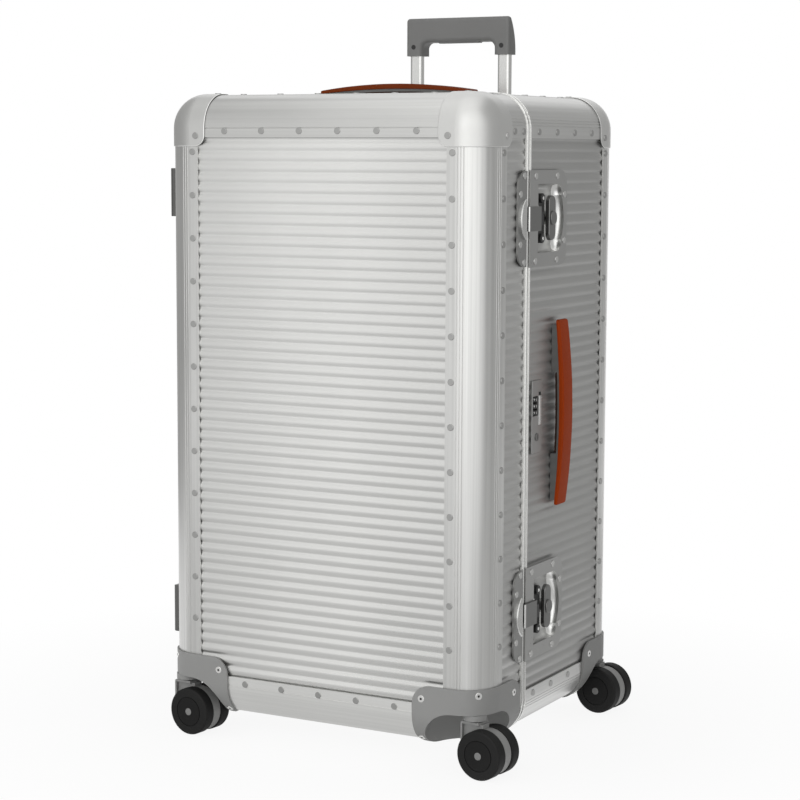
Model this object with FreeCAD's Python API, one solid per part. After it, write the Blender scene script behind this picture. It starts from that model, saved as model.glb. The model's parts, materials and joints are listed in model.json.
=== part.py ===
import FreeCAD, Part
import math
import os

os.makedirs("parts", exist_ok=True)
V = FreeCAD.Vector
X = V(1, 0, 0)
Y = V(0, 1, 0)
Z = V(0, 0, 1)

# Case outside: X across, Y front to back, Z up from the floor
CASE_W = 446.0
CASE_D = 386.0
CASE_H = 771.0
CASE_BASE = 29.0
HALF_W = CASE_W / 2
HALF_D = CASE_D / 2
CASE_TOP = CASE_BASE + CASE_H
MID_Z = CASE_BASE + CASE_H / 2
FRONT = -HALF_D

# Edge profiles: quarter round with a flat flange on each face
EDGE_R = 41.0
EDGE_T = 1.8
FLANGE = 52.0
EDGE_END = 55.0
GROOVE_R = 0.55
GROOVE_DEGREES = (5.0, 10.0, 15.0)
RAIL_GROOVES = (0.0,)

# Corrugated sheet
RIB_PITCH = 12.75
RIB_H = 1.5
SHEET_T = 1.2
SHEET_EDGE = 41.25
CREST_SHARE = 0.7
JOIN_SHARE = CREST_SHARE

# Closing rims on both sides of the parting plane
LID_D = 111.0
PART_Y = FRONT + LID_D
RIM_GAP = 0.3
RIM_WEB = 4.4
RIM_LIP = 2.8
RIM_DEEP = 8.0
BEAD_AT = 3.9
BEAD_W = 2.6
BEAD_PROUD = 1.6
SEAL_IN = 3.0
SEAL_W = 3.0
SEAL_DEEP = 3.0

# Rivets
RIVET_R = 4.0
RIVET_H = 1.0
RIVET_EDGE = 0.6
RIVET_LINE = 44.5
RIVET_PITCH = 52.75
STILE_RIVETS = 12
STILE_FIRST = 69.6
STILE_LAST = 121.15
STILE_PITCH = (CASE_H - STILE_FIRST - STILE_LAST) / (STILE_RIVETS - 1)
LID_RIVETS = (FRONT + 73.0, PART_Y - 14.0)
CASE_RIVETS = 4
CASE_RIVET_FROM = PART_Y + 29.3
CASE_RIVET_TO = HALF_D - 89.2
CASE_RIVET_PITCH = (CASE_RIVET_TO - CASE_RIVET_FROM) / (CASE_RIVETS - 1)

# Ball corner caps
CAP_REACH = 63.0
CAP_PROUD = 1.5
CAP_ROUND = 14.0
CAP_SOFT = 0.9
CAP_RIVET = 50.0

# Wheel housings and their wells
HOUSE_A = 92.5
HOUSE_B = 98.0
HOUSE_C = 75.0
HOUSE_PROUD = 2.5
HOUSE_ROUND = 23.0
HOUSE_TUCK = 14.0
STEM_IN = 19.6
WELL_R = 61.0
WELL_TOP = 44.5
WELL_ROUND = 34.0
WELL_WALL = 2.5
FIT = 0.3
BOSS_R = 8.6
BOSS_H = 13.0

# Casters
TRAIL = 19.1
WHEEL_R = 29.5
WHEEL_OUT = 23.4
WHEEL_IN = 7.6
FENDER_R = 28.0
FENDER_HALF = 6.8
AXLE_R = 3.0
AXLE_CAP_R = 4.6
STEM_R = 5.0
RUN = 0.05
SWIVEL_R = 14.5
SWIVEL_T = 8.2
CASTER_TURN = -6.0

# Hinges on the left side
HINGE_OUT = 11.0
HINGE_KNUCKLE = 6.0
HINGE_TALL = 60.0
HINGE_PIN_R = 2.5
HINGE_IN = 120.0
HINGE_AT = (CASE_TOP - HINGE_IN, CASE_BASE + HINGE_IN)
HINGE_FRONT = 40.0
HINGE_REAR = 62.0

# Latches on the right side, placed from the parting plane
LATCH_IN = 147.0
LATCH_AT = (CASE_TOP - LATCH_IN, CASE_BASE + LATCH_IN)
PLATE_T = 1.3
PLATE_LIFT = 1.7
DISH_DEEP = 8.0
DISH_WALL = 1.5
DISH_ROUND = 9.0
DISH_FROM = PART_Y + 21.5
DISH_STRAIGHT = PART_Y + 74.0
DISH_SHOULDER = PART_Y + 88.0
DISH_BULGE = PART_Y + 95.5
DISH_HALF = 41.0
DISH_SHOULDER_UP = 27.0
PLATE_FROM = PART_Y - 1.5
PLATE_TO = PART_Y + 104.5
PLATE_HALF = 57.5
PLATE_ROUND = 18.0
PLATE_RIVETS = ((14.5, 50.5), (76.0, 50.5), (97.0, 28.0))
LEVER_Y = PART_Y + 61.5
LEVER_HALF = 27.0
LEVER_W = 18.0
LEVER_T = 5.5
LEVER_BOSS = 8.5
SPINDLE_R = 4.0
BLOCK_TO = PART_Y + 49.5
HOOK_TALL = 29.0
HOOK_T = 2.5
HOOK_NOSE = 1.8
HOOK_TIP = PART_Y - 8.0
HOOK_BACK = PART_Y + 25.0
TAIL_TO = PART_Y + 33.0
TAIL_T = 1.5
TAIL_HALF = 8.0
DRUM_Y = PART_Y + 38.0
DRUM_UP = 24.0
DRUM_R = 5.8
DRUM_H = 10.0
KEEP_FROM = PART_Y - 30.0
KEEP_TO = PART_Y - 5.8
KEEP_HALF = 56.5
KEEP_ROUND = 18.0
KEEP_T = 1.2
KEEP_RIVETS = ((-13.5, 51.0), (-24.0, 29.5))
BUMP_FROM = PART_Y - 26.8
BUMP_TO = PART_Y - 13.6
BUMP_HALF = 24.0
BUMP_H = 5.2
BUMP_ROUND = 2.4
POCKET_FROM = PART_Y - 16.0
POCKET_HALF = 17.0

# Combination lock on the right side, at mid height
LOCK_FROM = PART_Y + 14.0
LOCK_TO = PART_Y + 42.0
LOCK_HALF = 44.5
LOCK_ROUND = 2.0
DIAL_Y = PART_Y + 23.0
DIAL_Z = MID_Z + 13.3
DIAL_STEP = 8.0
DIAL_R = 6.5
DIAL_AXLE_R = 1.5
KEY_Y = PART_Y + 28.0
KEY_Z = MID_Z - 24.8
KEY_R = 5.0
SLIDE_FROM = PART_Y + 32.5
SLIDE_TO = PART_Y + 38.5
SLIDE_LOW = MID_Z - 10.5
SLIDE_HIGH = MID_Z + 25.5
SLIDE_TRAVEL = 4.0

# Leather handles
SIDE_STRAP_L = 229.0
TOP_STRAP_L = 213.0
STRAP_W = 28.0
STRAP_END = 8.4
STRAP_MID = 16.4
STRAP_END_T = 4.1
STRAP_MID_T = 6.4
STRAP_CORNER = 3.5
STRAP_EDGE = 1.6
CORE_T = 3.4
CORE_W = 23.0
PAD_T = 2.0
PAD_W = 26.0
STRAP_FOOT_IN = 6.0
BRACKET_L = 58.0
BRACKET_W = 23.0
SIDE_STRAP_Y = PART_Y + 87.0
TOP_STRAP_Y = PART_Y + 87.0

# Pull handle
POST_X = 65.0
POST_Y = HALF_D - 14.5
POST_W = 18.0
POST_D = 11.0
POST_ROUND = 4.0
POST_RUN = 0.35
SLEEVE_WALL = 1.5
SLEEVE_LOW = CASE_TOP - 320.0
SLEEVE_HIGH = CASE_TOP - 28.0
TUBE_LOW = CASE_TOP - 255.0
GRIP_W = 153.0
GRIP_LEG = 23.0
GRIP_LOW = CASE_TOP + 59.0
GRIP_BAR = CASE_TOP + 76.6
GRIP_TOP = CASE_TOP + 108.5
GRIP_SOCKET = 24.0
PLUG_R = 3.2
PLUG_Z = CASE_TOP + 70.7

# Linings
LINING_IN = 12.5
LINING_T = 1.5
LINING_REAR = 24.0
LINING_ROUND = 28.0


def save(name, shapes):
    """Write one node, as one solid or as a group of separate solids."""
    solids = []
    for shape in shapes:
        solids.extend(shape.Solids)
    for solid in solids:
        if not solid.isValid():
            print("check", name)
    whole = solids[0] if len(solids) == 1 else Part.makeCompound(solids)
    whole.exportStep("parts/" + name + ".step")


def block(low, high):
    """Box between two corner points."""
    return Part.makeBox(high[0] - low[0], high[1] - low[1], high[2] - low[2], V(*low))


def rod(radius, start, way, length):
    return Part.makeCylinder(radius, length, start, way)


def outline(start, steps):
    """Face from lines (one point) and arcs (middle and end point)."""
    edges = []
    here = start
    for step in steps:
        if len(step) == 1:
            edges.append(Part.LineSegment(here, step[0]).toShape())
        else:
            edges.append(Part.Arc(here, step[0], step[1]).toShape())
        here = step[-1]
    return Part.Face(Part.Wire(edges))


def soften(shape, radius, keep):
    """Round the edges for which keep says yes."""
    return shape.makeFillet(radius, [edge for edge in shape.Edges if keep(edge)])


def runs_along(way):
    """Test for straight edges in one direction."""
    def test(edge):
        if not isinstance(edge.Curve, Part.Line):
            return False
        return abs(edge.tangentAt(edge.FirstParameter).dot(way)) > 0.999
    return test


def mirrored(shape, way):
    return shape.mirror(V(0, 0, 0), way)


def both_sides(shapes, way):
    return list(shapes) + [mirrored(shape, way) for shape in shapes]


def top_to_bottom(shape):
    return shape.mirror(V(0, 0, MID_Z), Z)


def placed(shape, at, way):
    """Copy of a piece drawn along +Z, turned to point along way."""
    piece = shape.copy()
    piece.Placement = FreeCAD.Placement(at, FreeCAD.Rotation(Z, way))
    return piece


def rounded_rect(half_x, low_z, high_z, radius, y):
    """Face in the XZ plane with rounded corners."""
    plate = block((-half_x, y, low_z), (half_x, y + 1, high_z))
    plate = soften(plate, radius, runs_along(Y))
    for face in plate.Faces:
        if abs(face.CenterOfMass.y - y) < 1e-6:
            return face
    return None


def ring(outer_off, inner_off, y0, y1):
    """Band that follows the case outline, between two offsets inward."""
    bands = []
    for off in (outer_off, inner_off):
        radius = EDGE_R - off
        bands.append(rounded_rect(HALF_W - off, CASE_BASE + off, CASE_TOP - off, radius, y0))
    return bands[0].extrude(Y * (y1 - y0)).cut(bands[1].extrude(Y * (y1 - y0)))


def edge_profile(corner, across, down, along, down_grooves=GROOVE_DEGREES):
    """Extruded edge section; across and down point from the sharp corner into the faces."""
    def at(a, b):
        return corner + across * a + down * b
    mid = EDGE_R * (1 - math.sqrt(0.5))
    mid_in = EDGE_R - (EDGE_R - EDGE_T) * math.sqrt(0.5)
    face = outline(at(FLANGE, 0), [
        (at(EDGE_R, 0),),
        (at(mid, mid), at(0, EDGE_R)),
        (at(0, FLANGE),),
        (at(EDGE_T, FLANGE),),
        (at(EDGE_T, EDGE_R),),
        (at(mid_in, mid_in), at(EDGE_R, EDGE_T)),
        (at(FLANGE, EDGE_T),),
        (at(FLANGE, 0),),
    ])

    def groove(degrees, on_across):
        turn = math.radians(degrees)
        deep = EDGE_R * (1 - math.cos(turn))
        in_from = EDGE_R * (1 - math.sin(turn))
        centre = at(in_from, deep) if on_across else at(deep, in_from)
        return Part.Face(Part.Wire(Part.makeCircle(GROOVE_R, centre, along)))
    discs = [groove(degrees, True) for degrees in GROOVE_DEGREES]
    discs += [groove(degrees, False) for degrees in down_grooves]
    return face.cut(discs).Faces[0].extrude(along)


def wave_panel(low, out, up, length, along):
    """Corrugated sheet; low is on the outer plane, ribs run along, crests lie under the flanges."""
    count = round(length / RIB_PITCH)
    pitch = length / count
    join = EDGE_T + RIB_H * JOIN_SHARE

    def at(s, deep):
        return low + up * s - out * deep
    start = at(0, join)
    steps = []
    for rib in range(count):
        s = rib * pitch
        crest_end = s + CREST_SHARE * pitch
        steps.append((at(s + CREST_SHARE * pitch / 2, EDGE_T), at(crest_end, join)))
        steps.append((at((crest_end + s + pitch) / 2, EDGE_T + RIB_H), at(s + pitch, join)))
    steps.append((at(length, join + SHEET_T),))
    for rib in reversed(range(count)):
        s = rib * pitch
        crest_end = s + CREST_SHARE * pitch
        trough = at((crest_end + s + pitch) / 2, EDGE_T + RIB_H + SHEET_T)
        steps.append((trough, at(crest_end, join + SHEET_T)))
        steps.append((at(s + CREST_SHARE * pitch / 2, EDGE_T + SHEET_T), at(s, join + SHEET_T)))
    steps.append((start,))
    return outline(start, steps).extrude(along)


def well(extra):
    """Wheel recess about the stem axis of the front left corner, grown by extra."""
    at = V(-HALF_W + STEM_IN, FRONT + STEM_IN, CASE_BASE - 20)
    body = Part.makeCylinder(WELL_R + extra, WELL_TOP + extra + 20, at, Z)
    top = CASE_BASE + WELL_TOP + extra
    return soften(body, WELL_ROUND + extra, lambda edge: abs(edge.CenterOfMass.z - top) < 1e-6)


def corner_block(off, reach):
    """Solid with one rounded case corner (front, left, bottom), offset outward."""
    low = (-HALF_W - off, FRONT - off, CASE_BASE - off)
    body = block(low, (-HALF_W + reach, FRONT + reach, CASE_BASE + reach))
    return body.makeFillet(EDGE_R + off, [edge for edge in body.Edges if ends_at(edge, V(*low))])


def ends_at(edge, point):
    return min((vertex.Point - point).Length for vertex in edge.Vertexes) < 1e-6


def four_corners(front_left):
    """Front left, front right, rear left, rear right copies of one corner piece."""
    front_right = mirrored(front_left, X)
    return front_left, front_right, mirrored(front_left, Y), mirrored(front_right, Y)


WELLS_OUT = four_corners(well(WELL_WALL + FIT))


def clear_of_wells(shape):
    """Cut away what the wheel wells take."""
    tools = [tool for tool in WELLS_OUT if tool.BoundBox.intersect(shape.BoundBox)]
    return shape.cut(tools) if tools else shape


# Edge profiles, drawn on the left and mirrored
STILE_LOW = CASE_BASE + EDGE_END
STILE_LONG = Z * (CASE_H - 2 * EDGE_END)
RAIL_LONG = X * (CASE_W - 2 * EDGE_END)
LID_LIP_Y = PART_Y - RIM_GAP - RIM_WEB - RIM_LIP
CASE_LIP_Y = PART_Y + RIM_GAP + RIM_WEB + RIM_LIP

front_stile = clear_of_wells(edge_profile(V(-HALF_W, FRONT, STILE_LOW), X, Y, STILE_LONG))
rear_stile = mirrored(front_stile, Y)
save("lid_front_stiles", both_sides([front_stile], X))
save("case_rear_stiles", both_sides([rear_stile], X))

RAIL_X = -HALF_W + EDGE_END
front_low_rail = clear_of_wells(edge_profile(V(RAIL_X, FRONT, CASE_BASE), Y, Z, RAIL_LONG, RAIL_GROOVES))
front_top_rail = edge_profile(V(RAIL_X, FRONT, CASE_TOP), Y, -Z, RAIL_LONG, RAIL_GROOVES)
save("lid_front_rails", [front_low_rail, front_top_rail])

# The bezel of the pull handle takes a window out of the rear top rail
BEZEL_HALF = POST_X + POST_W / 2 + 11.0
BEZEL_FRONT = POST_Y - POST_D / 2 - 3.5
BEZEL_LOW = SLEEVE_HIGH
BEZEL_LIP = 2.5
BEZEL_PROUD = 1.3
bezel_window = block((-BEZEL_HALF, BEZEL_FRONT, BEZEL_LOW), (BEZEL_HALF, HALF_D + 5, CASE_TOP + 5))
rear_top_rail = mirrored(front_top_rail, Y).cut(bezel_window)
save("case_rear_rails", [mirrored(front_low_rail, Y), rear_top_rail])

lid_run = Y * (LID_LIP_Y - (FRONT + EDGE_END))
case_run = Y * (HALF_D - EDGE_END - CASE_LIP_Y)
lid_edges = []
case_edges = []
for level, down in ((CASE_BASE, Z), (CASE_TOP, -Z)):
    lid_edges.append(clear_of_wells(edge_profile(V(-HALF_W, FRONT + EDGE_END, level), X, down, lid_run)))
    case_edges.append(clear_of_wells(edge_profile(V(-HALF_W, CASE_LIP_Y, level), X, down, case_run)))
save("lid_corner_edges", both_sides(lid_edges, X))
save("case_corner_edges", both_sides(case_edges, X))

# Closing rims: a lip over the panels, a web at the parting plane and a bright bead
def rim(side):
    web_at = PART_Y + side * RIM_GAP
    lip_at = web_at + side * RIM_WEB
    end_at = lip_at + side * RIM_LIP
    bead_at = PART_Y + side * BEAD_AT

    def band(outer, inner, one, two):
        return ring(outer, inner, min(one, two), max(one, two))
    web = band(0, RIM_DEEP, web_at, lip_at)
    lip = band(0, EDGE_T, lip_at, end_at)
    bead = band(-BEAD_PROUD, RIM_DEEP / 2, bead_at - BEAD_W / 2, bead_at + BEAD_W / 2)
    bead = bead.makeFillet(BEAD_PROUD * 0.6, [edge for edge in bead.Edges if on_outer_bead(edge)])
    return web.fuse([lip, bead]).removeSplitter()


def on_outer_bead(edge):
    box = edge.BoundBox
    high = box.ZMax > CASE_TOP + BEAD_PROUD - 1e-6 or box.ZMin < CASE_BASE - BEAD_PROUD + 1e-6
    wide = abs(max(abs(box.XMin), abs(box.XMax)) - HALF_W - BEAD_PROUD) < 1e-6
    return box.YLength < 1e-6 and (high or wide)


save("lid_rim", [rim(-1)])
seal_y = PART_Y - RIM_GAP + 0.1
seal = ring(SEAL_IN, SEAL_IN + SEAL_W, seal_y, seal_y + SEAL_DEEP)
save("case_rim", [rim(1).cut(seal)])
save("case_seal", [seal])

# Corrugated panels
PANEL_Z = CASE_BASE + SHEET_EDGE
PANEL_H = CASE_H - 2 * SHEET_EDGE
PANEL_X = -HALF_W + SHEET_EDGE
PANEL_W = X * (CASE_W - 2 * SHEET_EDGE)
SHEET_UNDER_LIP = RIM_LIP - 1.0
LID_SIDE_FROM = FRONT + SHEET_EDGE
LID_SIDE_LONG = LID_LIP_Y + SHEET_UNDER_LIP - LID_SIDE_FROM
CASE_SIDE_FROM = CASE_LIP_Y - SHEET_UNDER_LIP
CASE_SIDE_LONG = HALF_D - SHEET_EDGE - CASE_SIDE_FROM

front_panel = wave_panel(V(PANEL_X, FRONT, PANEL_Z), -Y, Z, PANEL_H, PANEL_W)
save("lid_front_panel", [clear_of_wells(front_panel)])
lid_side = wave_panel(V(-HALF_W, LID_SIDE_FROM, PANEL_Z), -X, Z, PANEL_H, Y * LID_SIDE_LONG)
save("lid_side_panels", both_sides([clear_of_wells(lid_side)], X))
lid_top = wave_panel(V(PANEL_X, LID_SIDE_FROM, CASE_TOP), Z, Y, LID_SIDE_LONG, PANEL_W)
save("lid_end_panels", [lid_top, clear_of_wells(top_to_bottom(lid_top))])

rear_panel = mirrored(front_panel, Y)
save("case_rear_panel", [clear_of_wells(rear_panel)])
case_side = wave_panel(V(-HALF_W, CASE_SIDE_FROM, PANEL_Z), -X, Z, PANEL_H, Y * CASE_SIDE_LONG)
case_side = clear_of_wells(case_side)
save("case_side_panel_left", [case_side])
case_top = wave_panel(V(PANEL_X, CASE_SIDE_FROM, CASE_TOP), Z, Y, CASE_SIDE_LONG, PANEL_W)
save("case_top_panel", [case_top])
save("case_bottom_panel", [clear_of_wells(top_to_bottom(case_top))])


# Bright ball corner caps at the top
def corner_skin(proud, reach_a, reach_b, reach_c, turn, tuck):
    """Skin over the front left bottom corner, cut to an outline with rounded lobes."""
    far = max(reach_a, reach_b, reach_c) + 20
    skin = corner_block(proud, far).cut(corner_block(0, far + 20))
    low = V(-HALF_W - proud, FRONT - proud, CASE_BASE - proud)
    high = V(-HALF_W + reach_a, FRONT + reach_b, CASE_BASE + reach_c)
    limit = block(tuple(low), tuple(high))
    outer = [edge for edge in limit.Edges if ends_at(edge, high)]
    limit = limit.makeFillet(turn, outer)
    if tuck:
        lower = [edge for edge in limit.Edges if lower_far(edge, low, high)]
        limit = limit.makeFillet(tuck, lower)
    return skin.common(limit)


def lower_far(edge, low, high):
    box = edge.BoundBox
    if box.ZMax > low.z + 1e-6:
        return False
    on_a = box.XMin > high.x - 1e-6
    on_b = box.YMin > high.y - 1e-6
    return on_a or on_b


cap_low = corner_skin(CAP_PROUD, CAP_REACH, CAP_REACH, CAP_REACH, CAP_ROUND, 0)


def cap_rim(edge):
    """True for the outer edges of a cap's border."""
    at = edge.valueAt((edge.FirstParameter + edge.LastParameter) / 2)
    core = V(max(at.x, -HALF_W + EDGE_R), max(at.y, FRONT + EDGE_R), max(at.z, CASE_BASE + EDGE_R))
    if abs((at - core).Length - EDGE_R - CAP_PROUD) > 0.01:
        return False
    inner = corner_block(CAP_PROUD + 1, CAP_REACH - 0.5)
    inner = inner.makeFillet(CAP_ROUND, [side for side in inner.Edges if ends_at(side, CAP_FAR)])
    return not inner.isInside(at, 1e-6, True)


CAP_FAR = V(-HALF_W + CAP_REACH - 0.5, FRONT + CAP_REACH - 0.5, CASE_BASE + CAP_REACH - 0.5)
cap_low = soften(cap_low, CAP_SOFT, cap_rim)
cap = top_to_bottom(cap_low)
save("lid_corner_caps", both_sides([cap], X))
save("case_corner_caps", both_sides([mirrored(cap, Y)], X))

# Small screws of the wheel housings, sunk in the housing skin
SCREW_R = 4.3
SCREW_SINK = 1.0
SCREW_PROUD = 0.7
SCREW_EYE = 1.5
screw = Part.makeCylinder(SCREW_R, SCREW_SINK + SCREW_PROUD, V(0, 0, -SCREW_SINK))
screw = soften(screw, 0.5, lambda edge: abs(edge.CenterOfMass.z - SCREW_PROUD) < 1e-6)
screw = screw.cut(Part.makeCylinder(SCREW_EYE, 2, V(0, 0, SCREW_PROUD - 0.8)))
screw_seat = Part.makeCylinder(SCREW_R, SCREW_SINK + 5, V(0, 0, -SCREW_SINK))
SCREW_SIDE = 80.0
SCREW_UP = 59.0
SCREW_EDGE_UP = 68.0
SCREW_LOW = 86.5
SCREW_LOW_TURN = 50.0


def screw_places():
    """Points on the front left housing skin with the way each screw faces."""
    off = EDGE_R + HOUSE_PROUD
    low_turn = math.radians(SCREW_LOW_TURN)
    slant = math.sqrt(0.5)
    corner = V(-HALF_W + EDGE_R, FRONT + EDGE_R, CASE_BASE + EDGE_R)
    front_low = V(0, -math.cos(low_turn), -math.sin(low_turn))
    side_low = V(-math.cos(low_turn), 0, -math.sin(low_turn))
    edge_way = V(-slant, -slant, 0)
    return [
        (V(-HALF_W + SCREW_SIDE, FRONT - HOUSE_PROUD, CASE_BASE + SCREW_UP), -Y),
        (V(-HALF_W - HOUSE_PROUD, FRONT + SCREW_SIDE, CASE_BASE + SCREW_UP), -X),
        (V(corner.x, corner.y, CASE_BASE + SCREW_EDGE_UP) + edge_way * off, edge_way),
        (V(-HALF_W + SCREW_LOW, corner.y, corner.z) + front_low * off, front_low),
        (V(corner.x, FRONT + SCREW_LOW, corner.z) + side_low * off, side_low),
    ]


housing_screws = [placed(screw, at, way) for at, way in screw_places()]
seats = [placed(screw_seat, at, way) for at, way in screw_places()]

# Wheel housing: skin with rounded lobes, domed well and a boss for the swivel stem
house_skin = corner_skin(HOUSE_PROUD, HOUSE_A, HOUSE_B, HOUSE_C, HOUSE_ROUND, HOUSE_TUCK)
well_in = well(0)
shell = well(WELL_WALL).cut(well_in).common(corner_block(HOUSE_PROUD, 130))
STEM_AT = V(-HALF_W + STEM_IN, FRONT + STEM_IN, 0)
WELL_ROOF = CASE_BASE + WELL_TOP
boss = rod(BOSS_R, STEM_AT + Z * (WELL_ROOF + WELL_WALL / 2), Z, BOSS_H)
bore = rod(STEM_R + RUN, STEM_AT + Z * (WELL_ROOF - 5), Z, BOSS_H + 3)
housing = house_skin.cut(well_in).fuse([shell, boss]).cut([bore] + seats).removeSplitter()
house_fl, house_fr, house_rl, house_rr = four_corners(housing)
save("lid_wheel_housings", [house_fl, house_fr])
save("case_wheel_housings", [house_rl, house_rr])
front_screws = both_sides(housing_screws, X)
save("lid_housing_screws", front_screws)
save("case_housing_screws", [mirrored(piece, Y) for piece in front_screws])

# Flat rivets with a rounded edge on every flange
rivet = Part.makeCylinder(RIVET_R, RIVET_H)
rivet = soften(rivet, RIVET_EDGE, lambda edge: abs(edge.CenterOfMass.z - RIVET_H) < 1e-6)
stile_levels = [CASE_BASE + STILE_LAST + step * STILE_PITCH for step in range(STILE_RIVETS)]
row_six = [(step - 2.5) * RIVET_PITCH for step in range(6)]
row_five = [(step - 2) * RIVET_PITCH for step in range(5)]
case_row = [CASE_RIVET_FROM + step * CASE_RIVET_PITCH for step in range(CASE_RIVETS)]
LINE_X = HALF_W - RIVET_LINE
LINE_Y = HALF_D - RIVET_LINE
LINE_TOP = CASE_TOP - RIVET_LINE
LINE_LOW = CASE_BASE + RIVET_LINE


def under_hinge(level):
    return any(abs(level - at) < HINGE_TALL / 2 + RIVET_R + 1 for at in HINGE_AT)


lid_rivets = []
case_rivets = []
for level in stile_levels:
    for side in (-1, 1):
        lid_rivets.append((V(side * LINE_X, FRONT, level), -Y))
        case_rivets.append((V(side * LINE_X, HALF_D, level), Y))
        case_rivets.append((V(side * HALF_W, LINE_Y, level), X * side))
        if side > 0 or not under_hinge(level):
            lid_rivets.append((V(side * HALF_W, -LINE_Y, level), X * side))
for x in row_six:
    lid_rivets.append((V(x, FRONT, LINE_TOP), -Y))
    lid_rivets.append((V(x, -LINE_Y, CASE_TOP), Z))
    case_rivets.append((V(x, HALF_D, LINE_TOP), Y))
    case_rivets.append((V(x, LINE_Y, CASE_TOP), Z))
for x in row_five:
    lid_rivets.append((V(x, FRONT, LINE_LOW), -Y))
    lid_rivets.append((V(x, -LINE_Y, CASE_BASE), -Z))
    case_rivets.append((V(x, HALF_D, LINE_LOW), Y))
    case_rivets.append((V(x, LINE_Y, CASE_BASE), -Z))
for side in (-1, 1):
    for y in LID_RIVETS:
        lid_rivets.append((V(side * HALF_W, y, LINE_TOP), X * side))
        lid_rivets.append((V(side * LINE_X, y, CASE_TOP), Z))
    for y in case_row:
        case_rivets.append((V(side * HALF_W, y, LINE_TOP), X * side))
        case_rivets.append((V(side * LINE_X, y, CASE_TOP), Z))
        if y < HALF_D - HOUSE_B - RIVET_R:
            case_rivets.append((V(side * HALF_W, y, LINE_LOW), X * side))
            case_rivets.append((V(side * LINE_X, y, CASE_BASE), -Z))
    for end, rows in ((-1, lid_rivets), (1, case_rivets)):
        corner_x = side * (HALF_W - CAP_RIVET)
        corner_y = end * (HALF_D - CAP_RIVET)
        corner_z = CASE_TOP - CAP_RIVET
        rows.append((V(corner_x, end * (HALF_D + CAP_PROUD), corner_z), Y * end))
        rows.append((V(side * (HALF_W + CAP_PROUD), corner_y, corner_z), X * side))
        rows.append((V(corner_x, corner_y, CASE_TOP + CAP_PROUD), Z))


def rivet_group(places):
    return [placed(rivet, at, way) for at, way in places]


# Hinges: lid leaf, case leaf and pin, seated on flange, rim and rib crests
HINGE_X = -HALF_W - HINGE_OUT
LEAF_OUT = HINGE_X - HINGE_KNUCKLE
LEAF_LIFT = 1.7
LEAF_CLEAR = 7.0
LEAF_ROUND = 5.0
FOOT_ROUND = 3.0
KNUCKLE_LONG = HINGE_TALL / 3
BEAD_CLEAR = BEAD_AT + BEAD_W / 2 + FIT
lid_leaves = []
case_leaves = []
hinge_pins = []


def foot_edge(edge):
    return runs_along(Y)(edge) and edge.BoundBox.XMax < LEAF_OUT + 1e-6


def leaf(low_z, y_far, side, pad_far, knuckles):
    """Hinge leaf on one side of the parting plane; side is -1 on the lid and 1 on the case."""
    y_near = PART_Y + side * LEAF_CLEAR
    top_z = low_z + HINGE_TALL
    plate = block((LEAF_OUT, min(y_near, y_far), low_z), (-HALF_W - LEAF_LIFT, max(y_near, y_far), top_z))

    def outer_edge(edge):
        return runs_along(Z)(edge) and edge.BoundBox.XMax < LEAF_OUT + 1e-6
    plate = soften(plate, LEAF_ROUND, outer_edge)
    foot = block((LEAF_OUT, -HALF_D, low_z), (-HALF_W, HALF_D, top_z))
    plate = plate.common(soften(foot, FOOT_ROUND, foot_edge))
    seat_near = PART_Y + side * BEAD_CLEAR
    seat = block((-HALF_W - LEAF_LIFT, min(seat_near, y_far), low_z),
                 (-HALF_W, max(seat_near, y_far), top_z))
    lip = (LID_LIP_Y if side < 0 else CASE_LIP_Y) + side * 0.2
    pad = block((-HALF_W, min(lip, pad_far), low_z), (-HALF_W + EDGE_T, max(lip, pad_far), top_z))
    pieces = [seat, pad]
    for z0, z1 in knuckles:
        pieces.append(rod(HINGE_KNUCKLE, V(HINGE_X, PART_Y, z0), Z, z1 - z0))
        reach = PART_Y + side * (LEAF_CLEAR + LEAF_ROUND)
        pieces.append(block((LEAF_OUT, min(PART_Y, reach), z0), (HINGE_X + 4, max(PART_Y, reach), z1)))
    return plate.fuse(pieces).removeSplitter()


for level in HINGE_AT:
    low_z = level - HINGE_TALL / 2
    first = low_z + KNUCKLE_LONG
    second = low_z + 2 * KNUCKLE_LONG
    hole = rod(HINGE_PIN_R + RUN, V(HINGE_X, PART_Y, low_z - 1), Z, HINGE_TALL + 2)
    pin = rod(HINGE_PIN_R, V(HINGE_X, PART_Y, low_z), Z, HINGE_TALL)
    flange_far = FRONT + FLANGE + 0.2
    lid_leaf = leaf(low_z, FRONT + HINGE_FRONT, -1, flange_far, [(first + FIT, second - FIT)])
    rear_far = PART_Y + HINGE_REAR
    case_leaf = leaf(low_z, rear_far, 1, rear_far, [(low_z, first), (second, low_z + HINGE_TALL)])
    lid_leaves.append(lid_leaf.cut(hole))
    case_leaves.append(case_leaf.cut(pin))
    hinge_pins.append(pin)
save("hinge_lid_leaves", lid_leaves)
save("hinge_case_leaves", case_leaves)
save("hinge_pins", hinge_pins)

# Latches
PLATE_X = HALF_W + PLATE_LIFT
PLATE_TOP = PLATE_X + PLATE_T
DISH_FLOOR = HALF_W - DISH_DEEP
LEVER_X = DISH_FLOOR + 6.6
BLOCK_TOP = DISH_FLOOR + 6.0
HOOK_LOW = PLATE_TOP + 0.4
HOOK_TOP = HOOK_LOW + HOOK_T


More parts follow.
